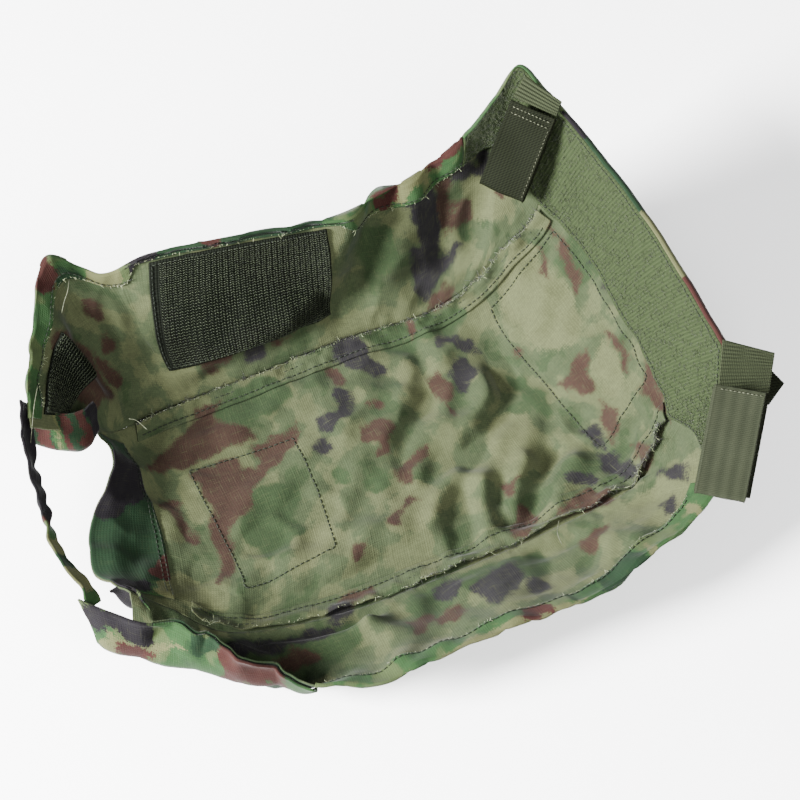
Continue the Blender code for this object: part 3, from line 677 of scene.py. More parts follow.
def print_field(points, outlines):
    """Depth inside the nearest blotch at each point, cut off at REACH."""
    flat = points.reshape(-1, 3)
    wobble = np.stack([ripple(flat, 11, 51), ripple(flat, 11, 52)], 1) * 0.7
    xy = flat[:, :2] + wobble
    out = np.full(len(flat), -REACH)
    for outline in outlines:
        low = np.min(outline, axis=0) - REACH
        high = np.max(outline, axis=0) + REACH
        near = np.nonzero(((xy > low) & (xy < high)).all(1))[0]
        if len(near):
            out[near] = np.maximum(out[near], depth_in(xy[near], outline))
    return np.clip(out, -REACH, REACH)


def cloth_coordinates(grid):
    """Lengths along the two directions of a grid of points, in mm from its middle."""
    along = np.linalg.norm(np.diff(grid, axis=0), axis=2).mean(1)
    along = np.concatenate([[0], np.cumsum(along)])
    across = np.linalg.norm(np.diff(grid, axis=1), axis=2)
    across = np.concatenate([np.zeros((len(grid), 1)), np.cumsum(across, axis=1)], 1)
    across -= across[:, grid.shape[1] // 2][:, None]
    return np.stack([np.repeat(along[:, None], grid.shape[1], 1), across, np.zeros(across.shape)], 2)


def new_object(name, points, faces, looks):
    """An object from points in mm; its materials are `looks`, by name."""
    mesh = bpy.data.meshes.new(name)
    mesh.from_pydata(((np.asarray(points, float) - ORIGIN) / 1000.0).tolist(), [], faces)
    for look in looks:
        mesh.materials.append(LOOKS[look])
    mesh.polygons.foreach_set("use_smooth", np.ones(len(mesh.polygons), bool))
    item = bpy.data.objects.new(name, mesh)
    bpy.context.scene.collection.objects.link(item)
    return item


def store(item, name, kind, values):
    layer = item.data.attributes.new(name, kind, "POINT")
    key = "vector" if kind == "FLOAT_VECTOR" else "value"
    layer.data.foreach_set(key, np.asarray(values, np.float32).ravel())


def grid_faces(n, m, flip):
    i, j = np.meshgrid(np.arange(n - 1), np.arange(m - 1), indexing="ij")
    a = (i * m + j).ravel()
    faces = np.stack([a, a + 1, a + m + 1, a + m], 1)
    return (faces[:, ::-1] if flip else faces).tolist()


def sheet_object(name, grid, facing, looks, thickness, outlines=PRINT_AND_SHADE):
    """One sheet of cloth from a grid of points; `facing` is its good side's direction."""
    n, m = grid.shape[:2]
    a, b, c = grid[n // 2, m // 2], grid[n // 2, m // 2 + 1], grid[n // 2 + 1, m // 2]
    flip = np.dot(np.cross(b - a, c - a), facing[n // 2, m // 2]) > 0
    item = new_object(name, grid.reshape(-1, 3), grid_faces(n, m, not flip), looks)
    store(item, "cloth", "FLOAT_VECTOR", cloth_coordinates(grid))
    if outlines:
        for key, shapes in outlines.items():
            store(item, key, "FLOAT", print_field(grid, shapes))
    solid = item.modifiers.new("thickness", "SOLIDIFY")
    solid.thickness = thickness / 1000.0
    solid.offset = -1.0
    solid.use_even_offset = False
    if len(looks) > 1:
        solid.material_offset = 1
    return item


def tubes(name, paths, radius, sides, looks):
    """Many thin tubes of one mesh; paths is an array (tube, point, 3) in mm."""
    paths = np.asarray(paths, float)
    count, steps = paths.shape[:2]
    along = unit(np.gradient(paths, axis=1))
    helper = np.where(np.abs(along[..., 2:3]) > 0.8, [1.0, 0, 0], [0, 0, 1.0])
    side = unit(np.cross(along, helper))
    other = np.cross(along, side)
    thin = np.ones(steps)
    thin[0] = thin[-1] = 0.35
    rings = []
    for k in range(sides):
        turn = 2 * math.pi * k / sides
        around = side * math.cos(turn) + other * math.sin(turn)
        rings.append(paths + radius * thin[None, :, None] * around)
    points = np.stack(rings, 2)
    tube = np.arange(count)[:, None, None] * steps * sides
    ring = np.arange(steps - 1)[None, :, None] * sides
    k = np.arange(sides)[None, None, :]
    after = (k + 1) % sides
    a = tube + ring + k
    b = tube + ring + after
    faces = np.stack([a, b, b + sides, a + sides], 3).reshape(-1, 4).tolist()
    for cap, order in ((0, -1), (steps - 1, 1)):
        ends = (np.arange(count)[:, None] * steps + cap) * sides + np.arange(sides)[::order][None]
        faces += ends.tolist()
    return new_object(name, points.reshape(-1, 3), faces, looks)


def belongs(item, nodes=(), body="shell"):
    """A finished piece: what it rides on, and the CAD nodes it stands for."""
    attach(item, body)
    if nodes:
        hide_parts(*nodes)
    return item


def box_grid(u0, u1, v0, v1, nu, nv):
    return np.meshgrid(np.linspace(u0, u1, nu), np.linspace(v0, v1, nv), indexing="ij")


def quad_grid(corners, nu, nv):
    """Grid of (u, v) inside four corners given as (u, v) in order."""
    grid = bilinear(corners, nu, nv)
    return grid[..., 0], grid[..., 1]


def edged_grid(u0, u1, count, start, stop, rows):
    """Grid over u whose v runs from one line of knots to another."""
    u = np.linspace(u0, u1, count)
    t = np.linspace(0, 1, rows)
    begin = ramp(u, start)
    end = ramp(u, stop)
    return np.repeat(u[:, None], rows, 1), begin[:, None] + (end - begin)[:, None] * t[None]


def ramp(x, knots):
    return np.interp(x, [k[0] for k in knots], [k[1] for k in knots])


# =============================== cloth pieces ===============================
PLY = 0.8
THIN_PLY = 0.5
TAPE_THICKNESS = 1.1
TAPE_LIFT = 1.5


def cloth(name, patch, u, v, offset, looks, thickness=PLY, outlines=PRINT_AND_SHADE):
    grid = patch.place(u, v, offset)
    return sheet_object(name, grid, patch.normals(u, v), looks, thickness, outlines)


# piece: patch, (u0, u1, v0, v1, steps along, steps down), node
PANELS = {
    "center_cloth": (CENTRE, (0, 9, 0.0, 4.0, 250, 120), "center_panel"),
    "far_side_cloth": (FAR_SIDE, (0.03, FAR_END, 0.0, 3.0, 330, 60), "far_side_panel"),
    "near_side_cloth": (NEAR_SIDE, (2.0, NEAR_END, 0.0, 3.0, 280, 56), "near_side_panel"),
}


def panels():
    for name, (patch, extent, node) in PANELS.items():
        u, v = box_grid(*extent)
        item = cloth(name, patch, u, v, 0.0, ["inside", "outside"])
        belongs(item, [node])


HEM_PRINT = {
    "brown": [[(-106, 128), (-96, 130), (-90, 118), (-100, 111)], [(56, 97), (66, 98), (66, 92), (57, 92)],
              [(84, 101), (104, 104), (108, 99), (94, 96), (86, 97)], [(-30, 108), (-18, 107), (-20, 98)],
              [(30, -114), (44, -116), (42, -108), (32, -108)]],
    "grey": [[(28, 103), (46, 102), (44, 95), (30, 96)], [(-60, 114), (-48, 112), (-50, 104), (-58, 105)]],
    "tan": [[(66, 99), (84, 101), (86, 96), (72, 90), (64, 92)],
            [(-78, 118), (-66, 115), (-66, 106), (-78, 108)],
            [(118, -108), (122, -106), (121, -96), (117, -97)],
            [(93, -115), (96, -115), (96, -104), (93, -104)],
            [(134, -94), (138, -90), (134, -80), (131, -84)],
            [(-40, -116), (28, -118), (60, -116), (28, -110)]],
    "green": [[(-92, 122), (-80, 118), (-80, 108), (-92, 110)],
              [(68, -116), (90, -115), (90, -104), (70, -106)],
              [(-52, 116), (-20, 110), (32, 101), (32, 90), (-20, 94), (-52, 102)],
              [(84, -116), (92, -115), (92, -110), (84, -111)]],
}


def hem(name, patch, u0, u1, count, depth, nodes):
    """A hem rolled over the rim: up the outside, over the edge and down the inside."""
    u = np.linspace(u0, u1, count)
    reach = ramp(u, depth)
    over = np.concatenate([np.linspace(0.10, -0.015, 4), [-0.035, -0.03], np.linspace(-0.01, 1.0, 14)])
    rise = np.concatenate([[-1.0, -1.05, -1.1, -1.05], [-0.6, 0.5], np.linspace(0.9, 0.75, 14)])
    columns = []
    for share, offset in zip(over, rise):
        v = share * reach if share > 0.1 else np.full(count, share)
        columns.append(patch.place(u, v, offset))
    grid = np.stack(columns, 1)
    facing = np.repeat(patch.normals(u, np.full(count, 0.2))[:, None], grid.shape[1], 1)
    item = sheet_object(name, grid, facing, ["outside"], THIN_PLY, HEM_PRINT)
    return belongs(item, nodes)


FAR_HEM = [(0.3, 0.5), (3.0, 0.55), (4.5, 0.5), (4.75, 0.12), (7.15, 0.12), (7.4, 0.5), (9.9, 0.62)]
NEAR_HEM = [(6.3, 0.5), (9.0, 0.55), (11.2, 0.85), (12.1, 0.9), (14.0, 0.16)]


def hems():
    hem("far_rim_hem_cloth", FAR_SIDE, 0.2, 9.95, 300, FAR_HEM, ["far_rim_hem"])
    hem("near_rim_hem_cloth", NEAR_SIDE, 6.2, 12.3, 200, NEAR_HEM, ["near_rim_hem"])


ALLOWANCES = {
    "far": (0.02, 0.34, 1.4, "far_seam_allowance"),
    "near": (3.98, 3.66, 2.2, "near_seam_allowance"),
}


def allowance_grid(start, stop, stand):
    """From the raw edge, which stands up, to the fold side that is sewn flat."""
    rows = 14
    u, v = edged_grid(1.4, 7.95, 320, [(0, start)], [(0, stop)], rows)
    raw = 1 - np.linspace(0, 1, rows)[None]
    wander = ripple(CENTRE.points(u, v), 15, 71)
    nibbled = ripple(CENTRE.points(u, v), 4, 72)
    v = v + np.sign(stop - start) * raw * (0.014 * wander + 0.006 * nibbled)
    lift = 1.0 + stand * smooth((raw - 0.3) / 0.7) * (1.0 + 0.5 * wander)
    return u, v, lift


def allowances():
    for side, (start, stop, stand, node) in ALLOWANCES.items():
        u, v, lift = allowance_grid(start, stop, stand)
        item = cloth(side + "_allowance_cloth", CENTRE, u, v, lift, ["inside"], THIN_PLY)
        belongs(item, [node])


def left_end():
    u, v = quad_grid([(0.0, 0.15), (0.93, 0.3), (1.12, 3.8), (0.0, 3.9)], 30, 90)
    item = cloth("left_facing_cloth", CENTRE, u, v, 0.9, ["outside"], THIN_PLY, FACING_PRINT)
    belongs(item, ["left_facing"])
    u, v = box_grid(0.0, 6.2, 0.0, 1.0, 150, 14)
    item = cloth("near_left_band_cloth", NEAR_SIDE, u, v, -1.9, ["outside"], 1.2, BAND_PRINT)
    belongs(item, ["near_left_band"])
    edges = list(zip(*STRIP))
    ribbon("hand_opening_band_cloth", edges, (-0.15, 0.9), 1.3, STRIP_PRINT, ["hand_opening_band"])
    ribbon("left_flap_cloth", FLAP_EDGES, (0, 0), 1.0, FLAP_PRINT)
    ribbon("left_return_hem_cloth", RETURN_EDGES, (0, 0), 1.0, RETURN_PRINT_AND_SHADE)


def ribbon(name, edges, beyond, thickness, outlines, nodes=()):
    """A narrow strip of printed cloth between two edges; it may run on past their ends."""
    s = np.linspace(beyond[0], len(edges[0]) - 1 + beyond[1], 120)
    t = np.linspace(0, 1, 11)
    grid = between(edges, s, t)
    face = unit(np.cross(np.gradient(grid, axis=1), np.gradient(grid, axis=0)))
    rolled = 1.1 * np.sin(math.pi * t[None]) ** 0.5
    grid = grid + face * (0.5 * ripple(grid, 12, 81) + rolled)[..., None]
    item = sheet_object(name, grid, face, ["outside"], thickness, outlines)
    return belongs(item, nodes)


FACING_PRINT = {
    "brown": [[(-92, -3), (-93, -17), (-99, -19), (-104, -14), (-99, -9)]],
    "grey": [[(-108, 42), (-90, 40), (-92, 22), (-112, 16), (-118, 24)],
             [(-126, -14), (-110, -18), (-106, -24), (-122, -26)]],
    "tan": [[(-106, -20), (-93, -19), (-88, -32), (-100, -34)]],
    "green": [[(-132, 60), (-84, 60), (-90, 0), (-98, -16), (-132, -20)]],
}
BAND_PRINT = {
    "brown": [[(-92, -70), (-70, -84), (-72, -92), (-94, -82)],
              [(-131, -48), (-120, -56), (-119, -60), (-131, -54)]],
    "grey": [[(-140, -30), (-130, -37), (-119, -47), (-116, -53), (-120, -56), (-131, -46), (-139, -38)]],
    "tan": [[(-137, -44), (-130, -47), (-110, -60), (-104, -66), (-120, -58), (-136, -50)],
            [(-62, -94), (-40, -104), (-40, -94), (-60, -86)]],
    "green": [[(-104, -68), (-94, -72), (-93, -66), (-102, -62)]],
}
STRIP_PRINT = {
    "brown": [[(-144, 14), (-134, 14), (-134, 10), (-144, 10)]],
    "grey": [[(-120, 72), (-116, 62), (-130, 15), (-146, 15), (-144, 40), (-134, 68)]],
    "tan": [[(-146, 4), (-134, 4), (-134, -4), (-146, -4)],
            [(-146, -14), (-132, -12), (-130, -24), (-144, -24)]],
    "green": [[(-146, -5), (-134, -5), (-134, -12), (-146, -12)]],
}
FLAP_EDGES = ([(-125, -19, 20), (-118, -20, 21), (-114, -23, 21), (-112, -28, 20), (-113, -38, 17)],
              [(-124, -19, 18), (-122, -21, 13), (-120, -25, 10), (-116, -30, 10), (-114, -37, 13)])
FLAP_PRINT = {"brown": [], "grey": [[(-128, -12), (-115, -14), (-114.5, -40), (-128, -40)]], "tan": [],
              "green": []}
RETURN_EDGES = (
    [(-129, 67.5, 45), (-123, 64, 43.5), (-116, 60.5, 42.5), (-109, 58, 42), (-103, 59.5, 39.5), (-98, 63, 36)],
    [(-132, 58, 34), (-127, 54, 31), (-120, 50, 29), (-113, 46, 28), (-107, 47, 28), (-101, 52, 28)],
)
# print of the return hem: mostly green, brown and grey with narrow tan stripes, kept dark as painted shade for
# the shaded hem
RETURN_PRINT_AND_SHADE = {
    "brown": [[(-126, 68), (-121, 66), (-123, 48), (-128, 50)],
              [(-108, 62), (-103, 62), (-105, 44), (-110, 42)],
              [(-115, 64), (-112, 63), (-114, 44), (-117, 44)]],
    "grey": [[(-101, 66), (-94, 66), (-98, 46), (-104, 46)]],
    "tan": [[(-119, 66), (-117, 65), (-118.5, 44), (-120.5, 45)]],
    "green": [[(-134, 72), (-122, 70), (-122, 46), (-134, 50)],
              [(-116, 64), (-96, 64), (-98, 44), (-114, 42)]],
}


HOOK_FIELD = [(5.12, 0.17), (6.97, 0.17), (6.8, 2.36), (5.02, 2.31)]
# backing: its corners and steps, node, piece of hooks, their corners and rows
HOOK_TAPES = {
    "hook_patch_tape": (HOOK_CORNERS, 90, 60, "hook_patch",
                        "hook_patch_hooks", HOOK_FIELD, 64, 43),
    "corner_hook_backing": (CORNER_TAPE, 60, 30, "corner_hook_tape",
                            "corner_hook_hooks", CORNER_TAPE, 40, 19),
}


def tapes():
    for name, (corners, nu, nv, node, hooks_name, field, across, down) in HOOK_TAPES.items():
        u, v = quad_grid(corners, nu, nv)
        item = cloth(name, FAR_SIDE, u, v, TAPE_LIFT, ["hook_base"], TAPE_THICKNESS, None)
        belongs(item, [node])
        belongs(hooks(hooks_name, field, across, down))


def hooks(name, corners, across, down):
    """Rows of small bent hooks, each row leaning the other way."""
    rng = np.random.default_rng(91)
    u, v = quad_grid(corners, across, down)
    u, v = u[1:-1, 1:-1], v[1:-1, 1:-1]
    foot = FAR_SIDE.place(u, v, TAPE_LIFT)
    normal = FAR_SIDE.normals(u, v)
    along = unit(np.gradient(foot, axis=0))
    fall = unit(np.gradient(foot, axis=1))
    i = np.arange(u.shape[0])[:, None, None]
    lean = np.where(i % 2 == 0, 0.55, -0.55)
    way = unit(along + fall * (lean + rng.normal(0, 0.18, u.shape)[..., None]))
    foot = foot + along * rng.normal(0, 0.08, u.shape)[..., None]
    arch = [(-0.55, 0.0), (-0.48, 0.75), (0.0, 1.05), (0.48, 0.8), (0.6, 0.35)]
    paths = np.stack([foot + way * a + normal * h for a, h in arch], 2)
    return tubes(name, paths.reshape(-1, len(arch), 3), 0.17, 4, ["hook"])


def band_grid(d0, d1, rows, offset):
    """Points and normals of the loop band, from the far end round to the near end."""
    d = np.linspace(d0, d1, rows)
    flat = np.ones(rows)
    far_run = np.linspace(9.98, FAR_END, 60)[:-1]
    near_run = np.linspace(NEAR_END, 12.27, 50)[1:]
    lines = [(FAR_SIDE, x * flat, d * ramp(x, FAR_BAND)) for x in far_run]
    lines += [(CENTRE, 9 - d * 0.985, y * flat) for y in np.linspace(0, 4, 110)]
    lines += [(NEAR_SIDE, x * flat, d * ramp(x, NEAR_BAND)) for x in near_run]
    points = [patch.place(u, v) for patch, u, v in lines]
    normals = [patch.normals(u, v) for patch, u, v in lines]
    points, normals = np.array(points), np.array(normals)
    for _ in range(8):
        normals[1:-1] = (normals[:-2] + 2 * normals[1:-1] + normals[2:]) / 4
        normals = unit(normals)
    return points + normals * offset, normals


def loop_band():
    grid, normals = band_grid(0.03, 1.0, 46, 1.7)
    item = sheet_object("loop_band_tape", grid, normals, ["loop"], 1.3, None)
    belongs(item, ["loop_band"])
    belongs(fuzz(grid, normals))


def fuzz(grid, normals):
    """Small loose loops scattered over the loop band."""
    rng = np.random.default_rng(101)
    count = 5200
    i = rng.uniform(1, grid.shape[0] - 2, count)
    j = rng.uniform(1, grid.shape[1] - 2, count)
    i0, j0 = i.astype(int), j.astype(int)
    fi, fj = (i - i0)[:, None], (j - j0)[:, None]
    foot = (grid[i0, j0] * (1 - fi) + grid[i0 + 1, j0] * fi) * (1 - fj)
    foot += (grid[i0, j0 + 1] * (1 - fi) + grid[i0 + 1, j0 + 1] * fi) * fj
    normal = normals[i0, j0]
    way = rng.normal(size=(count, 3))
    way = unit(way - normal * (way * normal).sum(1, keepdims=True))
    reach = rng.uniform(0.5, 1.1, count)[:, None]
    height = rng.uniform(0.25, 0.7, count)[:, None]
    arch = [(-1.0, -0.2), (-0.5, 0.8), (0.3, 1.0), (1.0, -0.2)]
    paths = np.stack([foot + way * reach * a + normal * height * h for a, h in arch], 1)
    return tubes("loop_band_fuzz", paths, 0.09, 3, ["fuzz"])


RIM_STEPS = [(0.18, -1.1), (0.03, -1.1), (-0.004, -0.8), (-0.006, 0.9), (0.004, 1.7), (0.024, 1.9)]
RIM_PRINT = {
    "brown": [[(140, -16), (170, -16), (170, -48), (140, -48)]],
    "grey": [[(140, 84), (160, 84), (160, 70), (140, 70)]],
    "tan": [[(140, 24), (170, 24), (170, -12), (140, -12)]],
    "green": [[(140, 68), (170, 68), (170, 28), (140, 28)]],
}


def end_rim_edge():
    """The end wall's turned edge, printed side out, just showing past the loop band."""
    columns = [band_grid(d, d, 1, offset)[0][:, 0] for d, offset in RIM_STEPS]
    grid = np.stack(columns, 1)
    facing = np.repeat(band_grid(0.05, 0.05, 1, 0.0)[1], len(RIM_STEPS), 1)
    item = sheet_object("end_rim_edge_cloth", grid, facing, ["outside"], 0.4, RIM_PRINT)
    belongs(item)


def outside_patches():
    for name, corners, node in (("base_patch_cloth", BASE_PATCH, "base_patch"),
                                ("end_patch_cloth", END_PATCH, "end_patch")):
        u, v = quad_grid(corners, 50, 50)
        grid = CENTRE.place(u, v, -1.3)
        item = sheet_object(name, grid, -CENTRE.normals(u, v), ["outside"], 0.9)
        belongs(item, [node])


# =============================== straps ===============================
def tab_frame(tab):
    """Middle of a tab's fold, the directions across, down and out of it, and its length."""
    (a, b), down, length = tab
    a, b = np.array(a, float), np.array(b, float)
    across = unit(b - a)
    fall = unit(down - across * np.dot(down, across))
    out = np.cross(fall, across)
    out *= 1 if out[2] > 0 else -1
    return (a + b) / 2, across, fall, out, length


def strap_tab(name, tab, look, node, body):
    """Webbing folded double, as a front ply, a bend and a back ply."""
    middle, across, fall, out, length = tab_frame(tab)
    reach = TAB_GAP / 2 + STRAP_PLY / 2
    line = [(k, reach) for k in np.linspace(0, length - reach, 60)]
    turn = np.linspace(0, math.pi, 12)[1:-1]
    line += [(length - reach + reach * math.sin(t), reach * math.cos(t)) for t in turn]
    line += [(k, -reach) for k in np.linspace(length - reach, 1.5, 60)]
    line = np.array(line)
    side = np.linspace(-1, 1, 41)
    spine = middle + line[:, :1] * fall + line[:, 1:] * out
    grid = spine[:, None] + across * (side * STRAP_WIDTH / 2)[None, :, None]
    step = unit(np.gradient(line, axis=0))
    normal = -step[:, 1:] * fall + step[:, :1] * out
    bulge = 0.25 * ripple(grid, 22, 111) + 0.35 * np.abs(side)[None] ** 12
    grid = grid + normal[:, None] * bulge[..., None]
    facing = np.repeat(normal[:, None], 41, 1)
    item = sheet_object(name, grid + facing * STRAP_PLY / 2, facing, [look], STRAP_PLY, None)
    return belongs(item, [node], body)


def ribbed(name, corners, nu, nv, ribs, node):
    """Ribbed elastic between four corners."""
    grid = bilinear(corners, nu, nv)
    face = unit(np.cross(np.gradient(grid, axis=0), np.gradient(grid, axis=1)))
    face *= 1 if face[0, 0, 2] > 0 else -1
    wave = 0.45 * np.abs(np.sin(math.pi * ribs * np.linspace(0, 1, nv)[None])) * np.ones((nu, 1))
    grid = grid + face * (wave + STRAP_PLY / 2)[..., None]
    item = sheet_object(name, grid, face, ["elastic"], STRAP_PLY, None)
    return belongs(item, [node])


UPPER_ELASTIC_TOP = ((146.0, 87.4, 89.6), (136.6, 105.8, 91.8))
RUN_ON = 0.55  # how far the lower elastic runs on under its tab, as a share of its height


def straps():
    strap_tab("upper_strap_webbing", UPPER_TAB, "dark_webbing_and_shade", "upper_strap_tab", "upper_tab")
    strap_tab("lower_strap_webbing", LOWER_TAB, "webbing", "lower_strap_tab", "lower_tab")
    middle, across, fall, _, _ = tab_frame(UPPER_TAB)
    half = across * STRAP_WIDTH / 2
    fold = middle - fall
    corners = [fold - half, fold + half, *UPPER_ELASTIC_TOP]
    ribbed("upper_strap_elastic", corners, 40, 60, 6, "upper_strap_root")
    a, b, c, d = (np.array(p, float) for p in LOWER_ROOT)
    corners = [a, b, c + (c - b) * RUN_ON, d + (d - a) * RUN_ON]
    ribbed("lower_strap_elastic", corners, 60, 120, 16, "lower_strap_root")


TAIL = ([(164, -56, 70), (174, -60, 62), (178, -70, 60)], [(158, -63, 66), (165, -70, 60), (168, -75, 56)])


def strap_tail():
    """The cut end of the lower strap, just showing behind its fold; its dark webbing is painted shade behind
    the fold.
    """
    grid = between(TAIL, np.linspace(0, 2, 14), np.linspace(0, 1, 10))
    facing = np.zeros(grid.shape) + (0.0, 0.0, 1.0)
    item = sheet_object("lower_strap_tail", grid, facing, ["dark_webbing_and_shade"], STRAP_PLY, None)
    belongs(item)


def under_ply():
    """The strap end behind the lower tab, standing out past its right edge; its dark webbing is painted shade
    behind the tab.
    """
    middle, across, fall, out, length = tab_frame(LOWER_TAB)
    down = np.linspace(2.0, length - 1.0, 40)[:, None, None]
    side = np.linspace(-0.2, 1.26, 30)[None, :, None] * STRAP_WIDTH / 2
    grid = middle + down * fall + side * across - out * (TAB_GAP / 2 + 2 * STRAP_PLY + 1.0)
    facing = np.zeros(grid.shape) + out
    item = sheet_object("lower_strap_under_ply", grid, facing, ["dark_webbing_and_shade"], STRAP_PLY, None)
    belongs(item, body="lower_tab")


# =============================== sewing ===============================
def resample(path, pitch):
    """Points every `pitch` mm along a path of points."""
    steps = np.linalg.norm(np.diff(path, axis=0), axis=1)
    length = np.concatenate([[0], np.cumsum(steps)])
    want = np.arange(pitch / 2, length[-1], pitch)
    return np.stack([np.interp(want, length, path[:, k]) for k in range(3)], 1), want / length[-1]


# one stitch, start to end: (share of its length, mm above the cloth, share of its skew)
STITCH = [(-0.5, -0.1, -1), (-0.32, 0.14, -0.5), (0.0, 0.22, 0), (0.32, 0.14, 0.5), (0.5, -0.1, 1)]


def stitches(name, rows, pitch, length, radius, look, seed=7):
    """Sewn rows: one short thread loop for each stitch. A row is (points, normals) along it."""
    rng = np.random.default_rng(seed)
    loops = []
    for points, normals in rows:
        spots, share = resample(points, pitch)
        pick = np.clip((share * (len(points) - 1)).round().astype(int), 0, len(points) - 1)
        normal = normals[pick]
        along = unit(np.gradient(spots, axis=0))
        skew = np.cross(normal, along) * rng.normal(0, 0.10, len(spots))[:, None]
        loop = [spots + along * a * length + normal * h + skew * k for a, h, k in STITCH]
        loops.append(np.stack(loop, 1))
    return tubes(name, np.concatenate(loops), radius, 5, [look])


def row_on(patch, corners, offset, count):
    """A row over a patch through corners given as (u, v)."""
    corners = np.array(corners, float)
    s = np.linspace(0, len(corners) - 1, count)
    i = np.clip(s.astype(int), 0, len(corners) - 2)
    f = (s - i)[:, None]
    uv = corners[i] * (1 - f) + corners[i + 1] * f
    return patch.place(uv[:, 0], uv[:, 1], offset), patch.normals(uv[:, 0], uv[:, 1])


def shrunk(corners, share):
    centre = np.mean(np.array(corners, float), axis=0)
    inner = [tuple(centre + (np.array(c, float) - centre) * share) for c in corners]
    return inner + [inner[0]]


# piece: rows, node (or None), pitch, stitch length, thread radius
# a row is (patch, mm above it, points along it, corners)
SEWN = {
    "far_seam_stitches": ([(CENTRE, 1.1, 220, ((1.5, v), (7.85, v))) for v in (0.14, 0.26)],
                          "far_seam_thread", 2.7, 2.2, 0.24),
    "near_seam_stitches": ([(CENTRE, 1.1, 220, ((1.5, v), (7.85, v))) for v in (3.86, 3.74)],
                           "near_seam_thread", 2.7, 2.2, 0.24),
    "facing_stitches": ([(CENTRE, 1.0, 220, ((0.84, 0.4), (1.0, 3.7))),
                         (CENTRE, 1.0, 220, ((0.91, 0.4), (1.08, 3.7)))],
                        "facing_thread", 2.5, 2.1, 0.24),
    "base_patch_stitches": ([(CENTRE, 0.1, 400, shrunk(BASE_PATCH, 0.93))],
                            "base_patch_thread", 2.7, 2.2, 0.26),
    "end_patch_stitches": ([(CENTRE, 0.1, 400, shrunk(END_STITCH, 1.0))],
                           "end_patch_thread", 2.7, 2.2, 0.24),
    "hook_patch_stitches": ([(FAR_SIDE, 1.7, 400, shrunk(HOOK_CORNERS, 0.95)),
                             (FAR_SIDE, 1.7, 300, shrunk(CORNER_TAPE, 0.93))],
                            "hook_patch_thread", 2.5, 2.1, 0.24),
    "hem_stitches": ([(FAR_SIDE, 1.0, 220, ((0.4, 0.42), (4.6, 0.42))),
                      (FAR_SIDE, 1.0, 220, ((7.4, 0.42), (9.9, 0.5))),
                      (NEAR_SIDE, 1.0, 220, ((6.4, 0.42), (9.0, 0.46), (11.2, 0.72), (12.0, 0.78)))],
                     None, 2.7, 2.2, 0.22),
}


def sewing():
    for name, (rows, node, pitch, length, radius) in SEWN.items():
        placed = [row_on(patch, corners, offset, count) for patch, offset, count, corners in rows]
        item = stitches(name, placed, pitch, length, radius, "thread")
        belongs(item, [node] if node else ())
    grid, normals = band_grid(0.03, 1.0, 46, 1.75)
    rows = [(grid[:, k], normals[:, k]) for k in (43, 2)]
    belongs(stitches("loop_band_stitches", rows, 2.7, 2.2, 0.22, "thread"))


def tab_row(tab, start, stop):
    """A row on a tab's front ply; start and stop are (share of half width, mm below the fold)."""
    middle, across, fall, out, _ = tab_frame(tab)
    t = np.linspace(0, 1, 60)[:, None]
    spot = (1 - t) * np.array(start) + t * np.array(stop)
    front = TAB_GAP / 2 + STRAP_PLY + 0.45
    points = middle + across * spot[:, :1] * STRAP_WIDTH / 2 + fall * spot[:, 1:] + out * front
    return points, np.repeat(out[None], 60, 0)


def strap_stitching():
    rows = [tab_row(UPPER_TAB, (0.93, 6.0), (0.93, 40.0))]
    rows += [tab_row(UPPER_TAB, (-0.85, k), (0.85, k)) for k in (2.4, 5.2)]
    item = stitches("upper_strap_light_stitches", rows, 1.9, 1.1, 0.22, "thread_light", 8)
    belongs(item, body="upper_tab")
    rows = [tab_row(LOWER_TAB, (-0.8, 1.6), (0.85, 1.6))]
    item = stitches("lower_strap_light_stitches", rows, 1.9, 1.1, 0.2, "thread_light", 9)
    belongs(item, body="lower_tab")


def frayed(name, edge, out, normal, count, reach, look, seed):
    """Loose threads along an edge: they start on it and curl away."""
    rng = np.random.default_rng(seed)
    pick = rng.uniform(0, len(edge) - 1, count)
    i = pick.astype(int)
    f = (pick - i)[:, None]
    foot = edge[i] * (1 - f) + edge[np.minimum(i + 1, len(edge) - 1)] * f
    way = unit(out[i] + rng.normal(0, 0.6, (count, 3)))
    curl = rng.normal(0, 0.5, (count, 3))
    length = (reach * rng.gamma(2.2, 0.45, count))[:, None]
    lift = normal[i] * rng.uniform(-0.1, 0.5, count)[:, None]
    foot = foot - out[i] * 0.8
    steps = np.linspace(0, 1, 5)
    paths = np.stack([foot + way * length * t + (curl + lift) * length * t * t for t in steps], 1)
    paths[..., 2] = np.maximum(paths[..., 2], 0.4)
    return tubes(name, paths, 0.11, 3, [look])


def run(u0, u1, knots, count):
    u = np.linspace(u0, u1, count)
    return u, ramp(u, knots)


# piece: patch, (u, v) along its hem, threads, their reach, seed
HEM_FRAYS = {
    "far_hem_fray": (FAR_SIDE, run(0.4, 9.9, FAR_HEM, 300), 300, 0.55, 300),
    "near_hem_fray": (NEAR_SIDE, run(6.3, 12.1, NEAR_HEM, 200), 200, 0.5, 301),
}


def frays():
    for side, (start, stop, stand, _) in ALLOWANCES.items():
        u, v, lift = allowance_grid(start, stop, stand)
        grid = CENTRE.place(u, v, lift)
        out = unit(grid[:, 0] - grid[:, 2])
        normal = CENTRE.normals(u[:, 0], v[:, 0])
        first = 0 if side == "far" else 110
        for look, count, reach, begin in (("fray_light", 420, 0.7, 0), ("fray_dark", 700, 1.1, first)):
            piece = frayed(side + "_seam_" + look, grid[begin:, 0], out[begin:], normal[begin:],
                           count, reach, look, 200 + count + begin)
            belongs(piece)
    for name, (patch, (u, v), count, reach, seed) in HEM_FRAYS.items():
        points = patch.place(u, v, 1.0)
        out = unit(patch.place(u, v + 0.1, 1.0) - points)
        item = frayed(name, points, out, patch.normals(u, v), count, reach, "fray_light", seed)
        belongs(item)


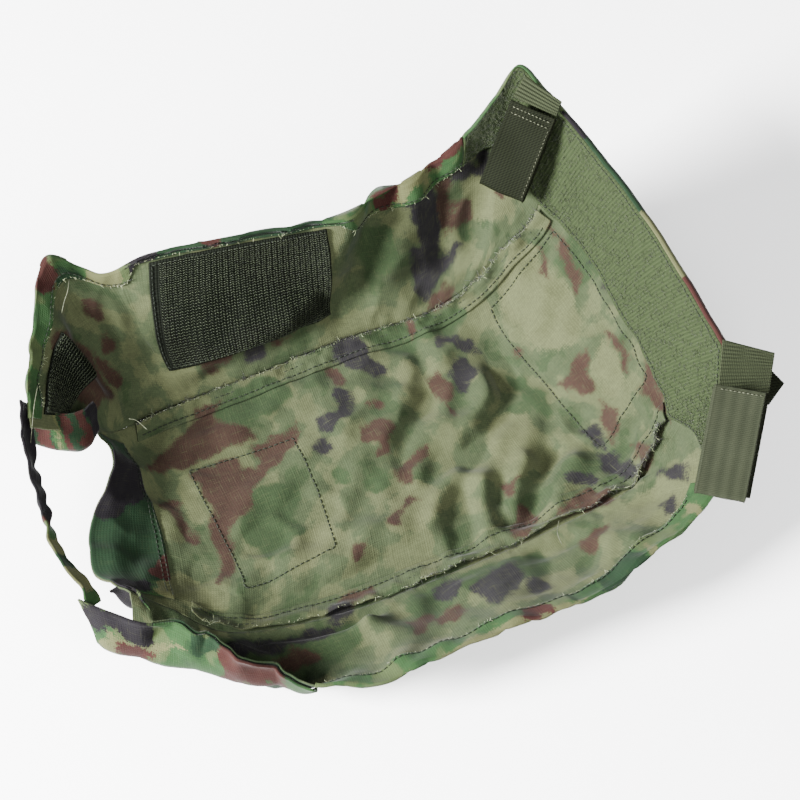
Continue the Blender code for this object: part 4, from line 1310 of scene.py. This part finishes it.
LOOSE_THREADS = {
    "corner": [(-87, 114, 57), (-90, 108, 58), (-93, 105, 56), (-96, 102, 52)],
    "strip_top": [(-119, 72, 52), (-124, 63, 53), (-129, 54, 50), (-133, 48, 44)],
    "strip_tuft": [(-136, 52, 42), (-131, 56, 44), (-126, 60, 45), (-121, 62, 44)],
    "near_seam": [(70, -70, 16), (66, -76, 18), (66, -81, 15)],
    "return_hem": [(-87, 48, 36), (-84, 46, 35), (-81, 41, 32)],
}


def loose_threads():
    """Single long threads that hang where the sewing has come undone."""
    paths = [on_curve(path, np.linspace(0, len(path) - 1, 14)) for path in LOOSE_THREADS.values()]
    belongs(tubes("loose_threads", paths, 0.16, 6, ["thread_light"]))


# =============================== stage ===============================
ELEVATION = 62.0
AZIMUTH = -25.0
DISTANCE = 1.15
LENS = 111.26
TARGET = (0.0789, 0.0271, 0.0)
LIGHTS_AIM = (0.05, 0.0, 0.03)


def add_camera():
    data = bpy.data.cameras.new("camera")
    data.lens = LENS
    data.sensor_width = 36.0
    item = bpy.data.objects.new("camera", data)
    tilt, turn = math.radians(90 - ELEVATION), math.radians(AZIMUTH)
    item.rotation_euler = (tilt, 0, turn)
    back = (math.sin(turn) * math.sin(tilt), -math.cos(turn) * math.sin(tilt), math.cos(tilt))
    item.location = [t + DISTANCE * b for t, b in zip(TARGET, back)]
    bpy.context.scene.collection.objects.link(item)
    bpy.context.scene.camera = item


def add_light(name, place, size, power):
    data = bpy.data.lights.new(name, "AREA")
    data.shape = "DISK"
    data.size = size
    data.energy = power
    item = bpy.data.objects.new(name, data)
    item.location = place
    way = mathutils.Vector(LIGHTS_AIM) - mathutils.Vector(place)
    item.rotation_euler = way.to_track_quat("-Z", "Y").to_euler()
    bpy.context.scene.collection.objects.link(item)


def add_floor():
    mesh = bpy.data.meshes.new("floor")
    half = 4.0
    corners = [(-half, -half, 0), (half, -half, 0), (half, half, 0), (-half, half, 0)]
    mesh.from_pydata(corners, [], [(0, 1, 2, 3)])
    g = Graph("floor_paper")
    place = g.node("ShaderNodeNewGeometry", {}, output="Position")
    tone = g.scale(g.noise(place, 3.0, 2.0), 0.93, 0.95)
    g.finish(g.shade((1.0, 1.0, 1.0, 1.0), tone), 0.9, specular=0.1)
    mesh.materials.append(g.material)
    item = bpy.data.objects.new("floor", mesh)
    bpy.context.scene.collection.objects.link(item)


def add_world():
    world = bpy.data.worlds.new("studio")
    world.use_nodes = True
    background = world.node_tree.nodes["Background"]
    background.inputs[0].default_value = (0.97, 0.98, 1.0, 1.0)
    background.inputs[1].default_value = 0.7
    bpy.context.scene.world = world


def add_lights():
    add_light("key", (-1.50, 0.24, 0.90), 0.7, 420.0)
    add_light("fill", (0.2, -1.3, 1.2), 1.4, 75.0)


add_camera()
add_world()
add_lights()
add_floor()
panels()
hems()
allowances()
left_end()
tapes()
loop_band()
end_rim_edge()
outside_patches()
straps()
strap_tail()
under_ply()
sewing()
strap_stitching()
frays()
loose_threads()
